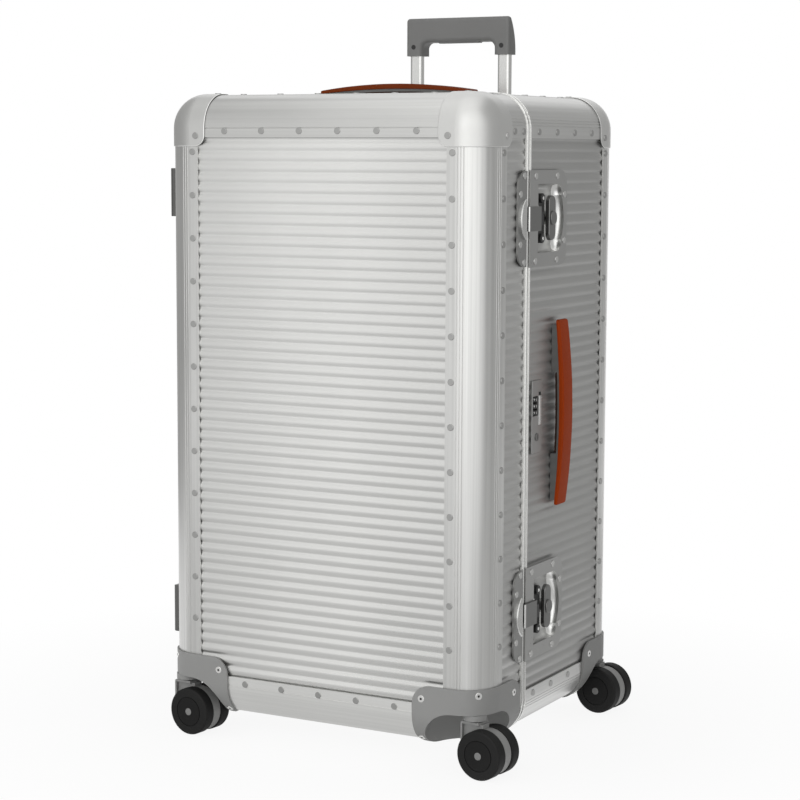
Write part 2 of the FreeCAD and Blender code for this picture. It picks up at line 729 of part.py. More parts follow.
def dish_tool(level, grow, floor):
    """Recess outline with a bulged rear side, from the floor outward."""
    def at(y, up):
        return V(floor, y, level + up)
    half = DISH_HALF + grow
    lift = DISH_SHOULDER_UP
    mid_y = (DISH_STRAIGHT + DISH_SHOULDER) / 2 + 3.5 + grow
    mid_up = (half + lift) / 2 + 3.5
    face = outline(at(DISH_FROM - grow, -half), [
        (at(DISH_STRAIGHT, -half),),
        (at(mid_y, -mid_up), at(DISH_SHOULDER + grow, -lift)),
        (at(DISH_BULGE + grow, 0), at(DISH_SHOULDER + grow, lift)),
        (at(mid_y, mid_up), at(DISH_STRAIGHT, half)),
        (at(DISH_FROM - grow, half),),
        (at(DISH_FROM - grow, -half),),
    ])
    return face.extrude(X * (PLATE_TOP + 5 - floor))


def bump_crest(edge):
    box = edge.BoundBox
    return box.XMin > HALF_W + BUMP_H - 1e-6 and box.YMin < BUMP_TO - 1


def hook_nose(edge):
    box = edge.BoundBox
    return box.XMin > HOOK_TOP - 1e-6 and box.YMax < HOOK_TIP + 1e-6


dishes = []
latch_blocks = []
levers = []
hooks = []
keepers = []
panel_cuts = []
for level in LATCH_AT:

    def rear_corner(edge):
        return runs_along(X)(edge) and edge.BoundBox.YMin > PLATE_TO - 2
    plate = block((PLATE_X, PLATE_FROM, level - PLATE_HALF), (PLATE_TOP, PLATE_TO, level + PLATE_HALF))
    pad = block((HALF_W - EDGE_T, CASE_LIP_Y + FIT, level - PLATE_HALF + 1),
                (PLATE_X, PLATE_TO - 1, level + PLATE_HALF - 1))
    wall = dish_tool(level, DISH_WALL, DISH_FLOOR - DISH_WALL)
    wall = wall.common(block((0, -HALF_D, level - 90), (PLATE_TOP, HALF_D, level + 90)))
    cup = dish_tool(level, 0, DISH_FLOOR)
    cup = soften(cup, DISH_ROUND, lambda edge: edge.BoundBox.XMax < DISH_FLOOR + 1e-6)
    plate_all = soften(plate, PLATE_ROUND, rear_corner).fuse([soften(pad, PLATE_ROUND, rear_corner), wall])
    bush_low = DISH_FLOOR - DISH_WALL
    bush = rod(LEVER_BOSS, V(bush_low, LEVER_Y, level), X, LEVER_X - 0.7 - bush_low)
    hole = rod(SPINDLE_R + RUN, V(DISH_FLOOR - 0.5, LEVER_Y, level), X, 20)
    dishes.append(plate_all.cut(cup).fuse(bush).cut(hole).removeSplitter())
    panel_cuts.append(dish_tool(level, DISH_WALL + FIT, DISH_FLOOR - 5))
    body = block((DISH_FLOOR, DISH_FROM + 0.2, level - LEVER_HALF),
                 (BLOCK_TOP, BLOCK_TO, level + LEVER_HALF))
    drums = []
    for sign in (-1, 1):
        drum = rod(DRUM_R, V(DISH_FLOOR, DRUM_Y, level + sign * DRUM_UP), X, DRUM_H)
        drums.append(soften(drum, 1.0, lambda edge: edge.BoundBox.XMin > DISH_FLOOR + DRUM_H - 1e-6))
    latch_blocks.append(body.fuse(drums).common(cup).removeSplitter())

    blade = block((LEVER_X, LEVER_Y - LEVER_W / 2, level - LEVER_HALF),
                  (LEVER_X + LEVER_T, LEVER_Y + LEVER_W / 2, level + LEVER_HALF))
    blade = soften(blade, LEVER_W / 2 - 0.01, runs_along(X))
    blade = soften(blade, 1.5, lambda edge: edge.BoundBox.XMin > LEVER_X + LEVER_T - 1e-6)
    knob = rod(LEVER_BOSS, V(LEVER_X, LEVER_Y, level), X, LEVER_T + 2.2)
    knob = soften(knob, 1.2, lambda edge: edge.BoundBox.XMin > LEVER_X + LEVER_T + 2)
    spindle = rod(SPINDLE_R, V(DISH_FLOOR, LEVER_Y, level), X, LEVER_X + 1 - DISH_FLOOR)
    levers.append(blade.fuse([knob, spindle]).removeSplitter())

    strip = block((HOOK_LOW, HOOK_TIP, level - HOOK_TALL / 2), (HOOK_TOP, HOOK_BACK, level + HOOK_TALL / 2))
    strip = soften(strip, HOOK_NOSE, hook_nose)
    tail = block((HOOK_LOW, HOOK_BACK - 1, level - TAIL_HALF),
                 (HOOK_LOW + TAIL_T, TAIL_TO, level + TAIL_HALF))
    hooks.append(strip.fuse(tail).removeSplitter())

    def front_corner(edge):
        return runs_along(X)(edge) and edge.BoundBox.YMax < KEEP_FROM + 2
    sheet = block((HALF_W, KEEP_FROM, level - KEEP_HALF), (HALF_W + KEEP_T, KEEP_TO, level + KEEP_HALF))
    seat_half = KEEP_HALF - 2
    seat = block((HALF_W - EDGE_T, KEEP_FROM + 1, level - seat_half),
                 (HALF_W, LID_LIP_Y - FIT, level + seat_half))
    bump = outline(V(HALF_W, BUMP_TO, level - BUMP_HALF), [
        (V(HALF_W, BUMP_FROM, level), V(HALF_W, BUMP_TO, level + BUMP_HALF)),
        (V(HALF_W, BUMP_TO, level - BUMP_HALF),),
    ]).extrude(X * BUMP_H)
    bump = soften(bump, BUMP_ROUND, bump_crest)
    pocket = block((HALF_W - EDGE_T - 1, POCKET_FROM, level - POCKET_HALF),
                   (HALF_W + BUMP_H - 1.2, KEEP_TO + 1, level + POCKET_HALF))
    seat = soften(seat, KEEP_ROUND - 2, front_corner)
    keeper = soften(sheet, KEEP_ROUND, front_corner).fuse([seat, bump]).cut(pocket)
    keepers.append(keeper.removeSplitter())
    for behind, up in PLATE_RIVETS:
        for sign in (-1, 1):
            case_rivets.append((V(PLATE_TOP, PART_Y + behind, level + sign * up), X))
    for behind, up in KEEP_RIVETS:
        for sign in (-1, 1):
            lid_rivets.append((V(HALF_W + KEEP_T, PART_Y + behind, level + sign * up), X))
save("latch_dishes", dishes)
save("latch_blocks", latch_blocks)
save("latch_keepers", keepers)
for place, lever, hook in zip(("upper", "lower"), levers, hooks):
    save("latch_lever_" + place, [lever])
    save("latch_hook_" + place, [hook])
save("lid_rivets", rivet_group(lid_rivets))
save("case_rivets", rivet_group(case_rivets))

# Combination lock: plate with a box behind it, three dials on one axle, slider and key cylinder
LOCK_TOP_X = HALF_W + 1.5
LOCK_BACK_X = HALF_W - 11.5
LOCK_LOW = MID_Z - LOCK_HALF
LOCK_HIGH = MID_Z + LOCK_HALF
DIAL_X = HALF_W - 3.5
lock_face = block((HALF_W - EDGE_T, LOCK_FROM, LOCK_LOW), (LOCK_TOP_X, LOCK_TO, LOCK_HIGH))
lock_face = soften(lock_face, LOCK_ROUND, runs_along(X))
lock_face = soften(lock_face, 0.8, lambda edge: edge.BoundBox.XMin > LOCK_TOP_X - 1e-6)
LOCK_IN = 1.5
lock_box_low = (LOCK_BACK_X, LOCK_FROM + LOCK_IN, LOCK_LOW + LOCK_IN)
lock_box_high = (HALF_W - EDGE_T, LOCK_TO - LOCK_IN, LOCK_HIGH - LOCK_IN)
lock_box = block(lock_box_low, lock_box_high)
dial_room = DIAL_STEP * 1.5
dial_side = DIAL_R + 0.5
dial_pocket = block((LOCK_BACK_X + 1, DIAL_Y - dial_side, DIAL_Z - dial_room),
                    (LOCK_TOP_X + 5, DIAL_Y + dial_side, DIAL_Z + dial_room))
dial_axle = rod(DIAL_AXLE_R, V(DIAL_X, DIAL_Y, DIAL_Z - dial_room - 1), Z, 2 * dial_room + 2)
slide_slot = block((HALF_W - 3, SLIDE_FROM - FIT, SLIDE_LOW - FIT),
                   (LOCK_TOP_X + 5, SLIDE_TO + FIT, SLIDE_HIGH + SLIDE_TRAVEL + FIT))
key_hole = rod(KEY_R + RUN, V(HALF_W - 7, KEY_Y, KEY_Z), X, 20)
lock = lock_face.fuse(lock_box).cut([dial_pocket, slide_slot, key_hole]).fuse(dial_axle).removeSplitter()
save("lock_plate", [lock])
for number in range(3):
    middle = DIAL_Z + (1 - number) * DIAL_STEP
    low = V(DIAL_X, DIAL_Y, middle - (DIAL_STEP - 2.0) / 2)
    dial = rod(DIAL_R, low, Z, DIAL_STEP - 2.0)
    dial = soften(dial, 0.6, lambda edge: True)
    dial = dial.cut(rod(DIAL_AXLE_R + RUN, low - Z, Z, DIAL_STEP))
    save("lock_dial_" + str(number + 1), [dial])
slider = block((HALF_W - 2.9, SLIDE_FROM, SLIDE_LOW), (LOCK_TOP_X + 1.2, SLIDE_TO, SLIDE_HIGH))
save("lock_slider", [soften(slider, 1.0, lambda edge: edge.BoundBox.XMin > LOCK_TOP_X + 1)])
key = rod(KEY_R, V(HALF_W - 6.9, KEY_Y, KEY_Z), X, 9.2)
key_way = block((HALF_W, KEY_Y - 0.6, KEY_Z - 3), (HALF_W + 5, KEY_Y + 0.6, KEY_Z + 3))
save("lock_key", [key.cut(key_way)])
grow = V(FIT, FIT, FIT)
panel_cuts.append(block(tuple(V(*lock_box_low) - grow), tuple(V(*lock_box_high) + grow + X * 9)))
save("case_side_panel_right", [mirrored(case_side, X).cut(panel_cuts)])

# Leather handles: a bowed strap and an under pad on a metal core with two feet
def bowed(half, width, top, low):
    """Band along X between two bows; each bow is its height at the ends and in the middle."""
    def at(x, high):
        return V(x, -width / 2, high)
    return outline(at(-half, top[0]), [
        (at(0, top[1]), at(half, top[0])),
        (at(half, low[0]),),
        (at(0, low[1]), at(-half, low[0])),
        (at(-half, top[0]),),
    ]).extrude(Y * width)


def strap_and_brackets(length):
    half = length / 2
    foot_out = half - STRAP_FOOT_IN
    foot_in = foot_out - BRACKET_L
    outer = (STRAP_END, STRAP_MID)
    inner = (STRAP_END - STRAP_END_T, STRAP_MID - STRAP_MID_T)
    under = tuple(high - CORE_T for high in inner)
    pad_low = tuple(high - PAD_T for high in under)

    def between(one, two):
        return block((one, -STRAP_W, -10), (two, STRAP_W, 40))
    strap = bowed(half, STRAP_W, outer, inner)
    strap = soften(strap, STRAP_CORNER, runs_along(Z))
    strap = strap.makeFillet(STRAP_EDGE, [edge for edge in strap.Edges if along_bow(edge, half)])
    core = bowed(half, CORE_W, inner, under).common(between(-foot_out, foot_out))
    pad = bowed(half, PAD_W, under, pad_low).common(between(-foot_in + 1, foot_in - 1))
    base = bowed(half, BRACKET_W, under, (-EDGE_T - 5, -EDGE_T - 5 + 1e-3))
    base = base.cut(block((-half, -STRAP_W, -20), (half, STRAP_W, -EDGE_T)))
    feet = [base.common(between(-foot_out, -foot_in)), base.common(between(foot_in, foot_out))]
    return [strap, pad], [core.fuse(feet).removeSplitter()]


def along_bow(edge, half):
    """The four long edges of a strap."""
    return edge.BoundBox.XLength > half


side_strap, side_brackets = strap_and_brackets(SIDE_STRAP_L)
top_strap, top_brackets = strap_and_brackets(TOP_STRAP_L)
top_place = FreeCAD.Placement(V(0, TOP_STRAP_Y, CASE_TOP), FreeCAD.Rotation())
side_turn = FreeCAD.Rotation(V(0, 0, -1), Y, X, "XYZ")
side_place = FreeCAD.Placement(V(HALF_W, SIDE_STRAP_Y, MID_Z), side_turn)


def moved(shape, place):
    piece = shape.copy()
    piece.Placement = place
    return piece


save("top_strap", [moved(piece, top_place) for piece in top_strap])
save("side_strap", [moved(piece, side_place) for piece in side_strap])
brackets = [moved(piece, top_place) for piece in top_brackets]
brackets.extend(moved(piece, side_place) for piece in side_brackets)
save("handle_brackets", brackets)

# Pull handle: fixed sleeves on the rear panel, bezel, sliding tubes and grip
def post(grow, low, high):
    """Rounded post at the right side, grown on every side."""
    half_w = POST_W / 2 + grow
    half_d = POST_D / 2 + grow
    body = block((POST_X - half_w, POST_Y - half_d, low), (POST_X + half_w, POST_Y + half_d, high))
    return soften(body, POST_ROUND + grow, runs_along(Z))


TUBE_WALL = 1.2
SLEEVE_GROW = POST_RUN + SLEEVE_WALL
SHEET_BACK = HALF_D - EDGE_T - RIB_H - SHEET_T
SLEEVE_FLOOR = 2.0
sleeve_bore = post(POST_RUN, SLEEVE_LOW + SLEEVE_FLOOR, SLEEVE_HIGH + 5)
sleeve = post(SLEEVE_GROW, SLEEVE_LOW, SLEEVE_HIGH).cut(sleeve_bore)
STRAP_PLATES = (SLEEVE_LOW + 20.0, SLEEVE_HIGH - 40.0)
PLATE_TALL = 30.0
bars = []
for low in STRAP_PLATES:
    bar_y = POST_Y + POST_D / 2 + POST_RUN + 0.4
    bars.append(block((-POST_X, bar_y, low), (POST_X, SHEET_BACK, low + PLATE_TALL)))
sleeves = sleeve.fuse([mirrored(sleeve, X)] + bars).removeSplitter()
save("handle_sleeves", [sleeves])
tube_bore = post(-TUBE_WALL, TUBE_LOW - 1, GRIP_LOW + GRIP_SOCKET + 1)
tube = post(0, TUBE_LOW, GRIP_LOW + GRIP_SOCKET).cut(tube_bore)
save("grip_tubes", both_sides([tube], X))


def rear_top_round(off, half_x):
    """Solid under the rear top rounded edge, offset outward."""
    low = (-half_x, 100.0, CASE_TOP - 100)
    body = block(low, (half_x, HALF_D + off, CASE_TOP + off))

    def top_rear(edge):
        box = edge.BoundBox
        return runs_along(X)(edge) and box.YMin > HALF_D + off - 1 and box.ZMin > CASE_TOP + off - 1
    return soften(body, EDGE_R + off, top_rear)


lip_space = block((-BEZEL_HALF - BEZEL_LIP, BEZEL_FRONT - BEZEL_LIP, BEZEL_LOW - BEZEL_LIP),
                  (BEZEL_HALF + BEZEL_LIP, HALF_D + 5, CASE_TOP + 5))
lip_space = soften(lip_space, 4.0, lambda edge: runs_along(Y)(edge) and edge.BoundBox.ZMax < BEZEL_LOW)
lip_skin = rear_top_round(BEZEL_PROUD, BEZEL_HALF + 10).cut(rear_top_round(0, BEZEL_HALF + 20))
lip_skin = lip_skin.common(lip_space)
plug_body = rear_top_round(0, BEZEL_HALF + 10).common(bezel_window)
ways = [post(POST_RUN, BEZEL_LOW - 5, CASE_TOP + 10)]
bezel = lip_skin.fuse(plug_body).cut(both_sides(ways, X)).removeSplitter()
save("handle_bezel", [bezel])

GRIP_HALF = GRIP_W / 2
GRIP_INSIDE = POST_X - GRIP_LEG / 2
GRIP_NEAR = POST_Y - GRIP_LEG / 2
GRIP_CROWN = 8.0
GRIP_BACK = (17.5, 17.0)
GRIP_ROUND = 4.5
GRIP_INNER = 9.0
GRIP_UNDER = 6.0


def grip_side(deep, below):
    """Point of the grip's side outline, from its front top edge."""
    return V(-GRIP_HALF, GRIP_NEAR + deep, GRIP_TOP - below)


GRIP_TALL = GRIP_TOP - GRIP_LOW
grip = outline(grip_side(0, GRIP_TALL), [
    (grip_side(0, 0),),
    (grip_side(GRIP_CROWN, 0),),
    (grip_side(*GRIP_BACK), grip_side(GRIP_LEG, GRIP_TALL)),
    (grip_side(0, GRIP_TALL),),
]).extrude(X * GRIP_W)
grip = soften(grip, GRIP_ROUND, lambda edge: edge.BoundBox.ZMax > GRIP_LOW + 1)
gap = block((-GRIP_INSIDE, 0, GRIP_LOW - 5), (GRIP_INSIDE, HALF_D + 50, GRIP_BAR))
gap = soften(gap, GRIP_INNER, lambda edge: runs_along(Y)(edge) and edge.BoundBox.ZMin > GRIP_BAR - 1)
grip = grip.cut(gap)


def around_gap(edge):
    """Edges of the gap on the grip's front face."""
    box = edge.BoundBox
    inside = max(abs(box.XMin), abs(box.XMax)) < GRIP_INSIDE + 1e-3
    return inside and box.YMax < GRIP_NEAR + 1e-3 and box.ZMax > GRIP_LOW + 1e-3


grip = soften(grip, GRIP_UNDER, around_gap)
BUTTON_Y = GRIP_NEAR + 10.0
BUTTON_HALF = 31.0
BUTTON_DEEP = 5.0
BUTTON_OUT = 1.5
BUTTON_UP = 8.0
BUTTON_GAP = 0.4
room_half = BUTTON_HALF + BUTTON_GAP
room_deep = BUTTON_DEEP + BUTTON_GAP
button_room = block((-room_half, BUTTON_Y - room_deep, GRIP_BAR - 5),
                    (room_half, BUTTON_Y + room_deep, GRIP_BAR + BUTTON_UP + 3.5))
button = block((-BUTTON_HALF, BUTTON_Y - BUTTON_DEEP, GRIP_BAR - BUTTON_OUT),
               (BUTTON_HALF, BUTTON_Y + BUTTON_DEEP, GRIP_BAR + BUTTON_UP))
button = soften(button, 3.0, runs_along(Z))
button = soften(button, 1.0, lambda edge: edge.BoundBox.ZMax < GRIP_BAR - BUTTON_OUT + 1e-6)
PLUG_DEEP = 1.2
plug = rod(PLUG_R, V(POST_X, GRIP_NEAR - 0.2, PLUG_Z), Y, PLUG_DEEP + 0.2)
plug_seat = rod(PLUG_R, V(POST_X, GRIP_NEAR - 5, PLUG_Z), Y, PLUG_DEEP + 5)
sockets = both_sides([post(0, GRIP_LOW - 5, GRIP_LOW + GRIP_SOCKET), plug_seat], X)
save("grip", [grip.cut(sockets + [button_room])])
save("grip_button", [button])
save("grip_plugs", both_sides([plug], X))

# Casters, drawn about the stem axis with the axle behind it along X, then turned and placed
AXLE_Z = WHEEL_R
axle_at = V(TRAIL, 0, AXLE_Z)
ROOF_GAP = 0.3
DISC_TOP = WELL_ROOF - ROOF_GAP
DISC_LOW = DISC_TOP - SWIVEL_T
TOP_LOW = DISC_LOW - 3.0
LEG_FAR = -13.0
LEG_NEAR = -10.7
NECK_R = 9.0
NECK_GAP = 1.3
LEG_HALF = 11.0


def saddle_edge(edge):
    box = edge.BoundBox
    return runs_along(Y)(edge) and box.ZMin > DISC_LOW - 0.1 and box.XMax < 0


stem = rod(STEM_R, V(0, 0, TOP_LOW), Z, WELL_ROOF + BOSS_H - 3 - TOP_LOW)
disc = rod(SWIVEL_R, V(0, 0, DISC_LOW + NECK_GAP), Z, SWIVEL_T - NECK_GAP)
neck = rod(NECK_R, V(0, 0, TOP_LOW), Z, DISC_TOP - TOP_LOW)
saddle = block((LEG_FAR, -LEG_HALF, TOP_LOW), (12.0, LEG_HALF, DISC_LOW))
leg = block((LEG_FAR, -LEG_HALF, 42.0), (LEG_NEAR, LEG_HALF, TOP_LOW + 0.5))
leg = soften(leg.fuse(saddle).removeSplitter(), 3.0, saddle_edge)
web = block((LEG_NEAR - 0.5, -FENDER_HALF, 40.0), (16.0, FENDER_HALF, TOP_LOW + 0.5))
fender = rod(FENDER_R, axle_at - Y * FENDER_HALF, Y, 2 * FENDER_HALF)
fender = soften(fender, 1.0, lambda edge: isinstance(edge.Curve, Part.Circle))
axle_hole = rod(AXLE_R + RUN, axle_at - Y * 20, Y, 40)
fork = disc.fuse([stem, neck, leg, web, fender]).cut(axle_hole).removeSplitter()

TYRE_ROUND = 2.6
HUB_R = 0.62 * WHEEL_R
HUB_GROOVE = 0.9
tyre = rod(WHEEL_R, axle_at + Y * WHEEL_IN, Y, WHEEL_OUT - WHEEL_IN)
tyre = soften(tyre, TYRE_ROUND, lambda edge: edge.BoundBox.YMin > WHEEL_OUT - 1e-6)
tyre = soften(tyre, 2.0, lambda edge: edge.BoundBox.YMax < WHEEL_IN + 1e-6 and edge.Length > 100)
channel = rod(HUB_R + HUB_GROOVE / 2, axle_at + Y * (WHEEL_OUT - 1), Y, 5)
channel = channel.cut(rod(HUB_R - HUB_GROOVE / 2, axle_at + Y * (WHEEL_OUT - 2), Y, 8))
cap_seat = rod(AXLE_CAP_R, axle_at + Y * (WHEEL_OUT - 1.5), Y, 5)
tyre = tyre.cut([channel, cap_seat, rod(AXLE_R, axle_at, Y, 40)])
axle = rod(AXLE_R, axle_at - Y * (WHEEL_OUT - 1), Y, 2 * (WHEEL_OUT - 1))
ends = []
for side in (-1, 1):
    end = rod(AXLE_CAP_R, axle_at + Y * side * (WHEEL_OUT - 1.5), Y * side, 2.0)
    ends.append(soften(end, 0.6, lambda edge: abs(edge.CenterOfMass.y) > WHEEL_OUT))
axle = axle.fuse(ends).removeSplitter()
wheel_set = [tyre, mirrored(tyre, Y), axle]

STEM_X = HALF_W - STEM_IN
STEM_Y = HALF_D - STEM_IN
for name, x, y in (("front_left", -STEM_X, -STEM_Y), ("front_right", STEM_X, -STEM_Y),
                   ("rear_left", -STEM_X, STEM_Y), ("rear_right", STEM_X, STEM_Y)):
    place = FreeCAD.Placement(V(x, y, 0), FreeCAD.Rotation(Z, CASTER_TURN))
    save("caster_fork_" + name, [moved(fork, place)])
    save("caster_wheels_" + name, [moved(piece, place) for piece in wheel_set])

# Fabric linings: trays with steps over the wheel wells and a border on the rim
STEP_OVER = STEM_IN + WELL_R + WELL_WALL + 2.0
STEP_TOP = WELL_ROOF + WELL_WALL / 2 + BOSS_H + 2.0


def lining_block(inset, y0, y1, open_y):
    low = (-HALF_W + LINING_IN + inset, y0, CASE_BASE + LINING_IN + inset)
    high = (HALF_W - LINING_IN - inset, y1, CASE_TOP - LINING_IN - inset)
    body = block(low, high)

    def inner_edge(edge):
        return abs(edge.CenterOfMass.y - open_y) > 1e-3
    body = soften(body, LINING_ROUND - inset, inner_edge)
    steps = []
    for side in (-1, 1):
        for end in (-1, 1):
            x = sorted((side * (HALF_W - STEP_OVER - inset), side * HALF_W))
            y = sorted((end * (HALF_D - STEP_OVER - inset), end * HALF_D))
            step = block((x[0], y[0], 0), (x[1], y[1], STEP_TOP + inset))
            if step.BoundBox.intersect(body.BoundBox):
                steps.append(step)
    return body.cut(steps)


def lining(y_wall, open_y, toward):
    """Tray from its back wall to the opening, with a thin border out to the rim."""
    y0, y1 = sorted((y_wall, open_y))
    outer = lining_block(0, y0, y1, open_y)
    i0, i1 = sorted((y_wall + toward * LINING_T, open_y + toward * 5))
    inner = lining_block(LINING_T, i0, i1, open_y + toward * 5)
    b0, b1 = sorted((open_y, open_y - toward * LINING_T))
    border = ring(RIM_DEEP, LINING_IN + LINING_T, b0, b1)
    return outer.cut(inner).fuse(border).removeSplitter()


save("case_lining", [lining(HALF_D - LINING_REAR, PART_Y + RIM_GAP + 1, -1)])
save("lid_lining", [lining(FRONT + LINING_IN, PART_Y - RIM_GAP - 1, 1)])
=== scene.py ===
import json
import math

import bmesh
import bpy
from mathutils import Matrix, Vector, noise


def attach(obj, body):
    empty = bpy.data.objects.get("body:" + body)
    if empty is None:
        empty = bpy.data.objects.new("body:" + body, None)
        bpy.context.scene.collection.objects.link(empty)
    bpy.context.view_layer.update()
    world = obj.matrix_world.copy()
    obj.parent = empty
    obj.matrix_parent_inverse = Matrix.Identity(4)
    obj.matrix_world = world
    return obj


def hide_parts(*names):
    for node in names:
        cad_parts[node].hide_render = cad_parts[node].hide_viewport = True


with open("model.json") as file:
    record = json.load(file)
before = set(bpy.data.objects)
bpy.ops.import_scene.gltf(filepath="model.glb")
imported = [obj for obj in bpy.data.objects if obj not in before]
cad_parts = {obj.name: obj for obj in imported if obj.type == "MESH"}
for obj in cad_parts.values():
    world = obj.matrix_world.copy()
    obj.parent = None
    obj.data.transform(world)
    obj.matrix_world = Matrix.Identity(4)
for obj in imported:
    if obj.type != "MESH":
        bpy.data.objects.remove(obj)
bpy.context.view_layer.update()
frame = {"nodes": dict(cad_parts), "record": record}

scene = bpy.context.scene
scene.view_settings.view_transform = "Standard"
NODES = frame["nodes"]
MM = 0.001

# Sizes of the CAD frame by which faces are told apart and pieces are placed, in metres
HALF_W = 0.223
HALF_D = 0.193
CASE_LOW = 0.029
CASE_TOP = 0.800
EDGE_R = 0.041
PART_Y = -0.082

# Camera, solved from the grid of rivets in the photograph
CAM_AT = Vector((1.2808, -2.3483, 0.7287))
CAM_YAW = math.radians(28.475)
CAM_PITCH = math.radians(6.665)
CAM_ROLL = math.radians(-0.234)
CAM_LENS = 94.72
CAM_SENSOR = 36.0
CAM_REACH = 50


def make_camera():
    forward = Vector((-math.sin(CAM_YAW) * math.cos(CAM_PITCH),
                      math.cos(CAM_YAW) * math.cos(CAM_PITCH),
                      -math.sin(CAM_PITCH)))
    right = Vector((math.cos(CAM_YAW), math.sin(CAM_YAW), 0))
    down = forward.cross(right)
    across = right * math.cos(CAM_ROLL) + down * math.sin(CAM_ROLL)
    below = down * math.cos(CAM_ROLL) - right * math.sin(CAM_ROLL)
    data = bpy.data.cameras.new("camera")
    data.lens = CAM_LENS
    data.sensor_width = CAM_SENSOR
    data.clip_end = CAM_REACH
    cam = bpy.data.objects.new("camera", data)
    turn = Matrix((across, -below, -forward)).transposed().to_4x4()
    cam.matrix_world = Matrix.Translation(CAM_AT) @ turn
    scene.collection.objects.link(cam)
    scene.camera = cam


make_camera()


# Procedural materials
class Surface:
    """A material with a principled shader and short calls for its nodes."""

    def __init__(self, name):
        self.mat = bpy.data.materials.new(name)
        self.mat.use_nodes = True
        self.tree = self.mat.node_tree
        self.bsdf = self.tree.nodes["Principled BSDF"]
        self.place = self.node("ShaderNodeTexCoord").outputs["Object"]

    def node(self, kind, **settings):
        made = self.tree.nodes.new(kind)
        for key, value in settings.items():
            setattr(made, key, value)
        return made

    def link(self, source, target):
        self.tree.links.new(source, target)

    def set(self, **values):
        for key, value in values.items():
            self.bsdf.inputs[key.replace("_", " ")].default_value = value

    def stretched(self, scale):
        mapping = self.node("ShaderNodeMapping")
        mapping.inputs["Scale"].default_value = scale
        self.link(self.place, mapping.inputs["Vector"])
        return mapping.outputs["Vector"]

    def noise(self, scale, detail, rough=0.55, vector=None):
        made = self.node("ShaderNodeTexNoise")
        made.inputs["Scale"].default_value = scale
        made.inputs["Detail"].default_value = detail
        made.inputs["Roughness"].default_value = rough
        self.link(vector or self.place, made.inputs["Vector"])
        return made.outputs["Fac"]

    def cells(self, scale):
        """Distance to the edge of irregular cells."""
        made = self.node("ShaderNodeTexVoronoi", feature="DISTANCE_TO_EDGE")
        made.inputs["Scale"].default_value = scale
        self.link(self.place, made.inputs["Vector"])
        return made.outputs["Distance"]

    def ramp(self, fac, stops):
        """Grey ramp; stops are pairs of place and level."""
        made = self.node("ShaderNodeValToRGB")
        line = made.color_ramp
        while len(line.elements) < len(stops):
            line.elements.new(0.5)
        for element, (at, level) in zip(line.elements, stops):
            element.position = at
            element.color = (level, level, level, 1)
        self.link(fac, made.inputs["Fac"])
        return made.outputs["Color"]

    def spread(self, fac, low, high):
        made = self.node("ShaderNodeMapRange")
        made.inputs["To Min"].default_value = low
        made.inputs["To Max"].default_value = high
        self.link(fac, made.inputs["Value"])
        return made.outputs["Result"]

    def mix(self, fac, one, two, blend="MIX"):
        made = self.node("ShaderNodeMix", data_type="RGBA", blend_type=blend)
        if isinstance(fac, float):
            made.inputs[0].default_value = fac
        else:
            self.link(fac, made.inputs[0])
        for index, value in ((6, one), (7, two)):
            if isinstance(value, tuple):
                made.inputs[index].default_value = (*value, 1)
            else:
                self.link(value, made.inputs[index])
        return made.outputs[2]

    def times(self, one, two, share=1.0):
        return self.mix(share, one, two, "MULTIPLY")

    def sum(self, one, two, share=1.0):
        scaled = self.node("ShaderNodeMath", operation="MULTIPLY")
        scaled.inputs[1].default_value = share
        self.link(two, scaled.inputs[0])
        made = self.node("ShaderNodeMath", operation="ADD")
        self.link(one, made.inputs[0])
        self.link(scaled.outputs[0], made.inputs[1])
        return made.outputs[0]

    def bump(self, height, strength, distance):
        made = self.node("ShaderNodeBump")
        made.inputs["Strength"].default_value = strength
        made.inputs["Distance"].default_value = distance
        self.link(height, made.inputs["Height"])
        self.link(made.outputs["Normal"], self.bsdf.inputs["Normal"])

    def at_height(self, height, half):
        """1 where Z lies within half of a height."""
        parts = self.node("ShaderNodeSeparateXYZ")
        self.link(self.place, parts.inputs[0])
        made = self.node("ShaderNodeMath", operation="COMPARE")
        made.inputs[1].default_value = height
        made.inputs[2].default_value = half
        self.link(parts.outputs["Z"], made.inputs[0])
        return made.outputs[0]

    def slope(self, direction, start):
        """Value that grows along a direction from start at the origin, kept between 0 and 1."""
        made = self.node("ShaderNodeVectorMath", operation="DOT_PRODUCT")
        made.inputs[1].default_value = direction
        self.link(self.place, made.inputs[0])
        moved = self.node("ShaderNodeMath", operation="ADD", use_clamp=True)
        moved.inputs[1].default_value = start
        self.link(made.outputs["Value"], moved.inputs[0])
        return moved.outputs[0]

    def colour(self, value):
        self.link(value, self.bsdf.inputs["Base Color"])

    def rough(self, value):
        self.link(value, self.bsdf.inputs["Roughness"])


# Scales of the brush marks, which run along the axis with the smallest scale
ALONG_X = (6.0, 900.0, 900.0)
ALONG_Y = (900.0, 6.0, 900.0)
ALONG_Z = (900.0, 900.0, 6.0)
ANY_WAY = (300.0, 300.0, 300.0)

# Depths of the brush marks, in metres
BRUSHED = 0.00004
POLISHED = 0.00002
STAMPED = 0.00003
CAST = 0.00005

# How far brush marks and clouds move a metal's roughness, and clouds its tone
BRUSH_ROUGH = 0.06
CLOUD_ROUGH = 0.03
CLOUD_TONE = 0.03
MARK_WIDTH = 0.3
MARK_EDGES = (0.38, 0.62)

# Painted shadow lines where the front and rear sheets end under the rails: height and share of the sheet's
# tone
GAP_SHADOW_HALF = 0.0006
FRONT_GAP_SHADOWS = ((0.7473, 0.60), (0.0818, 0.85))
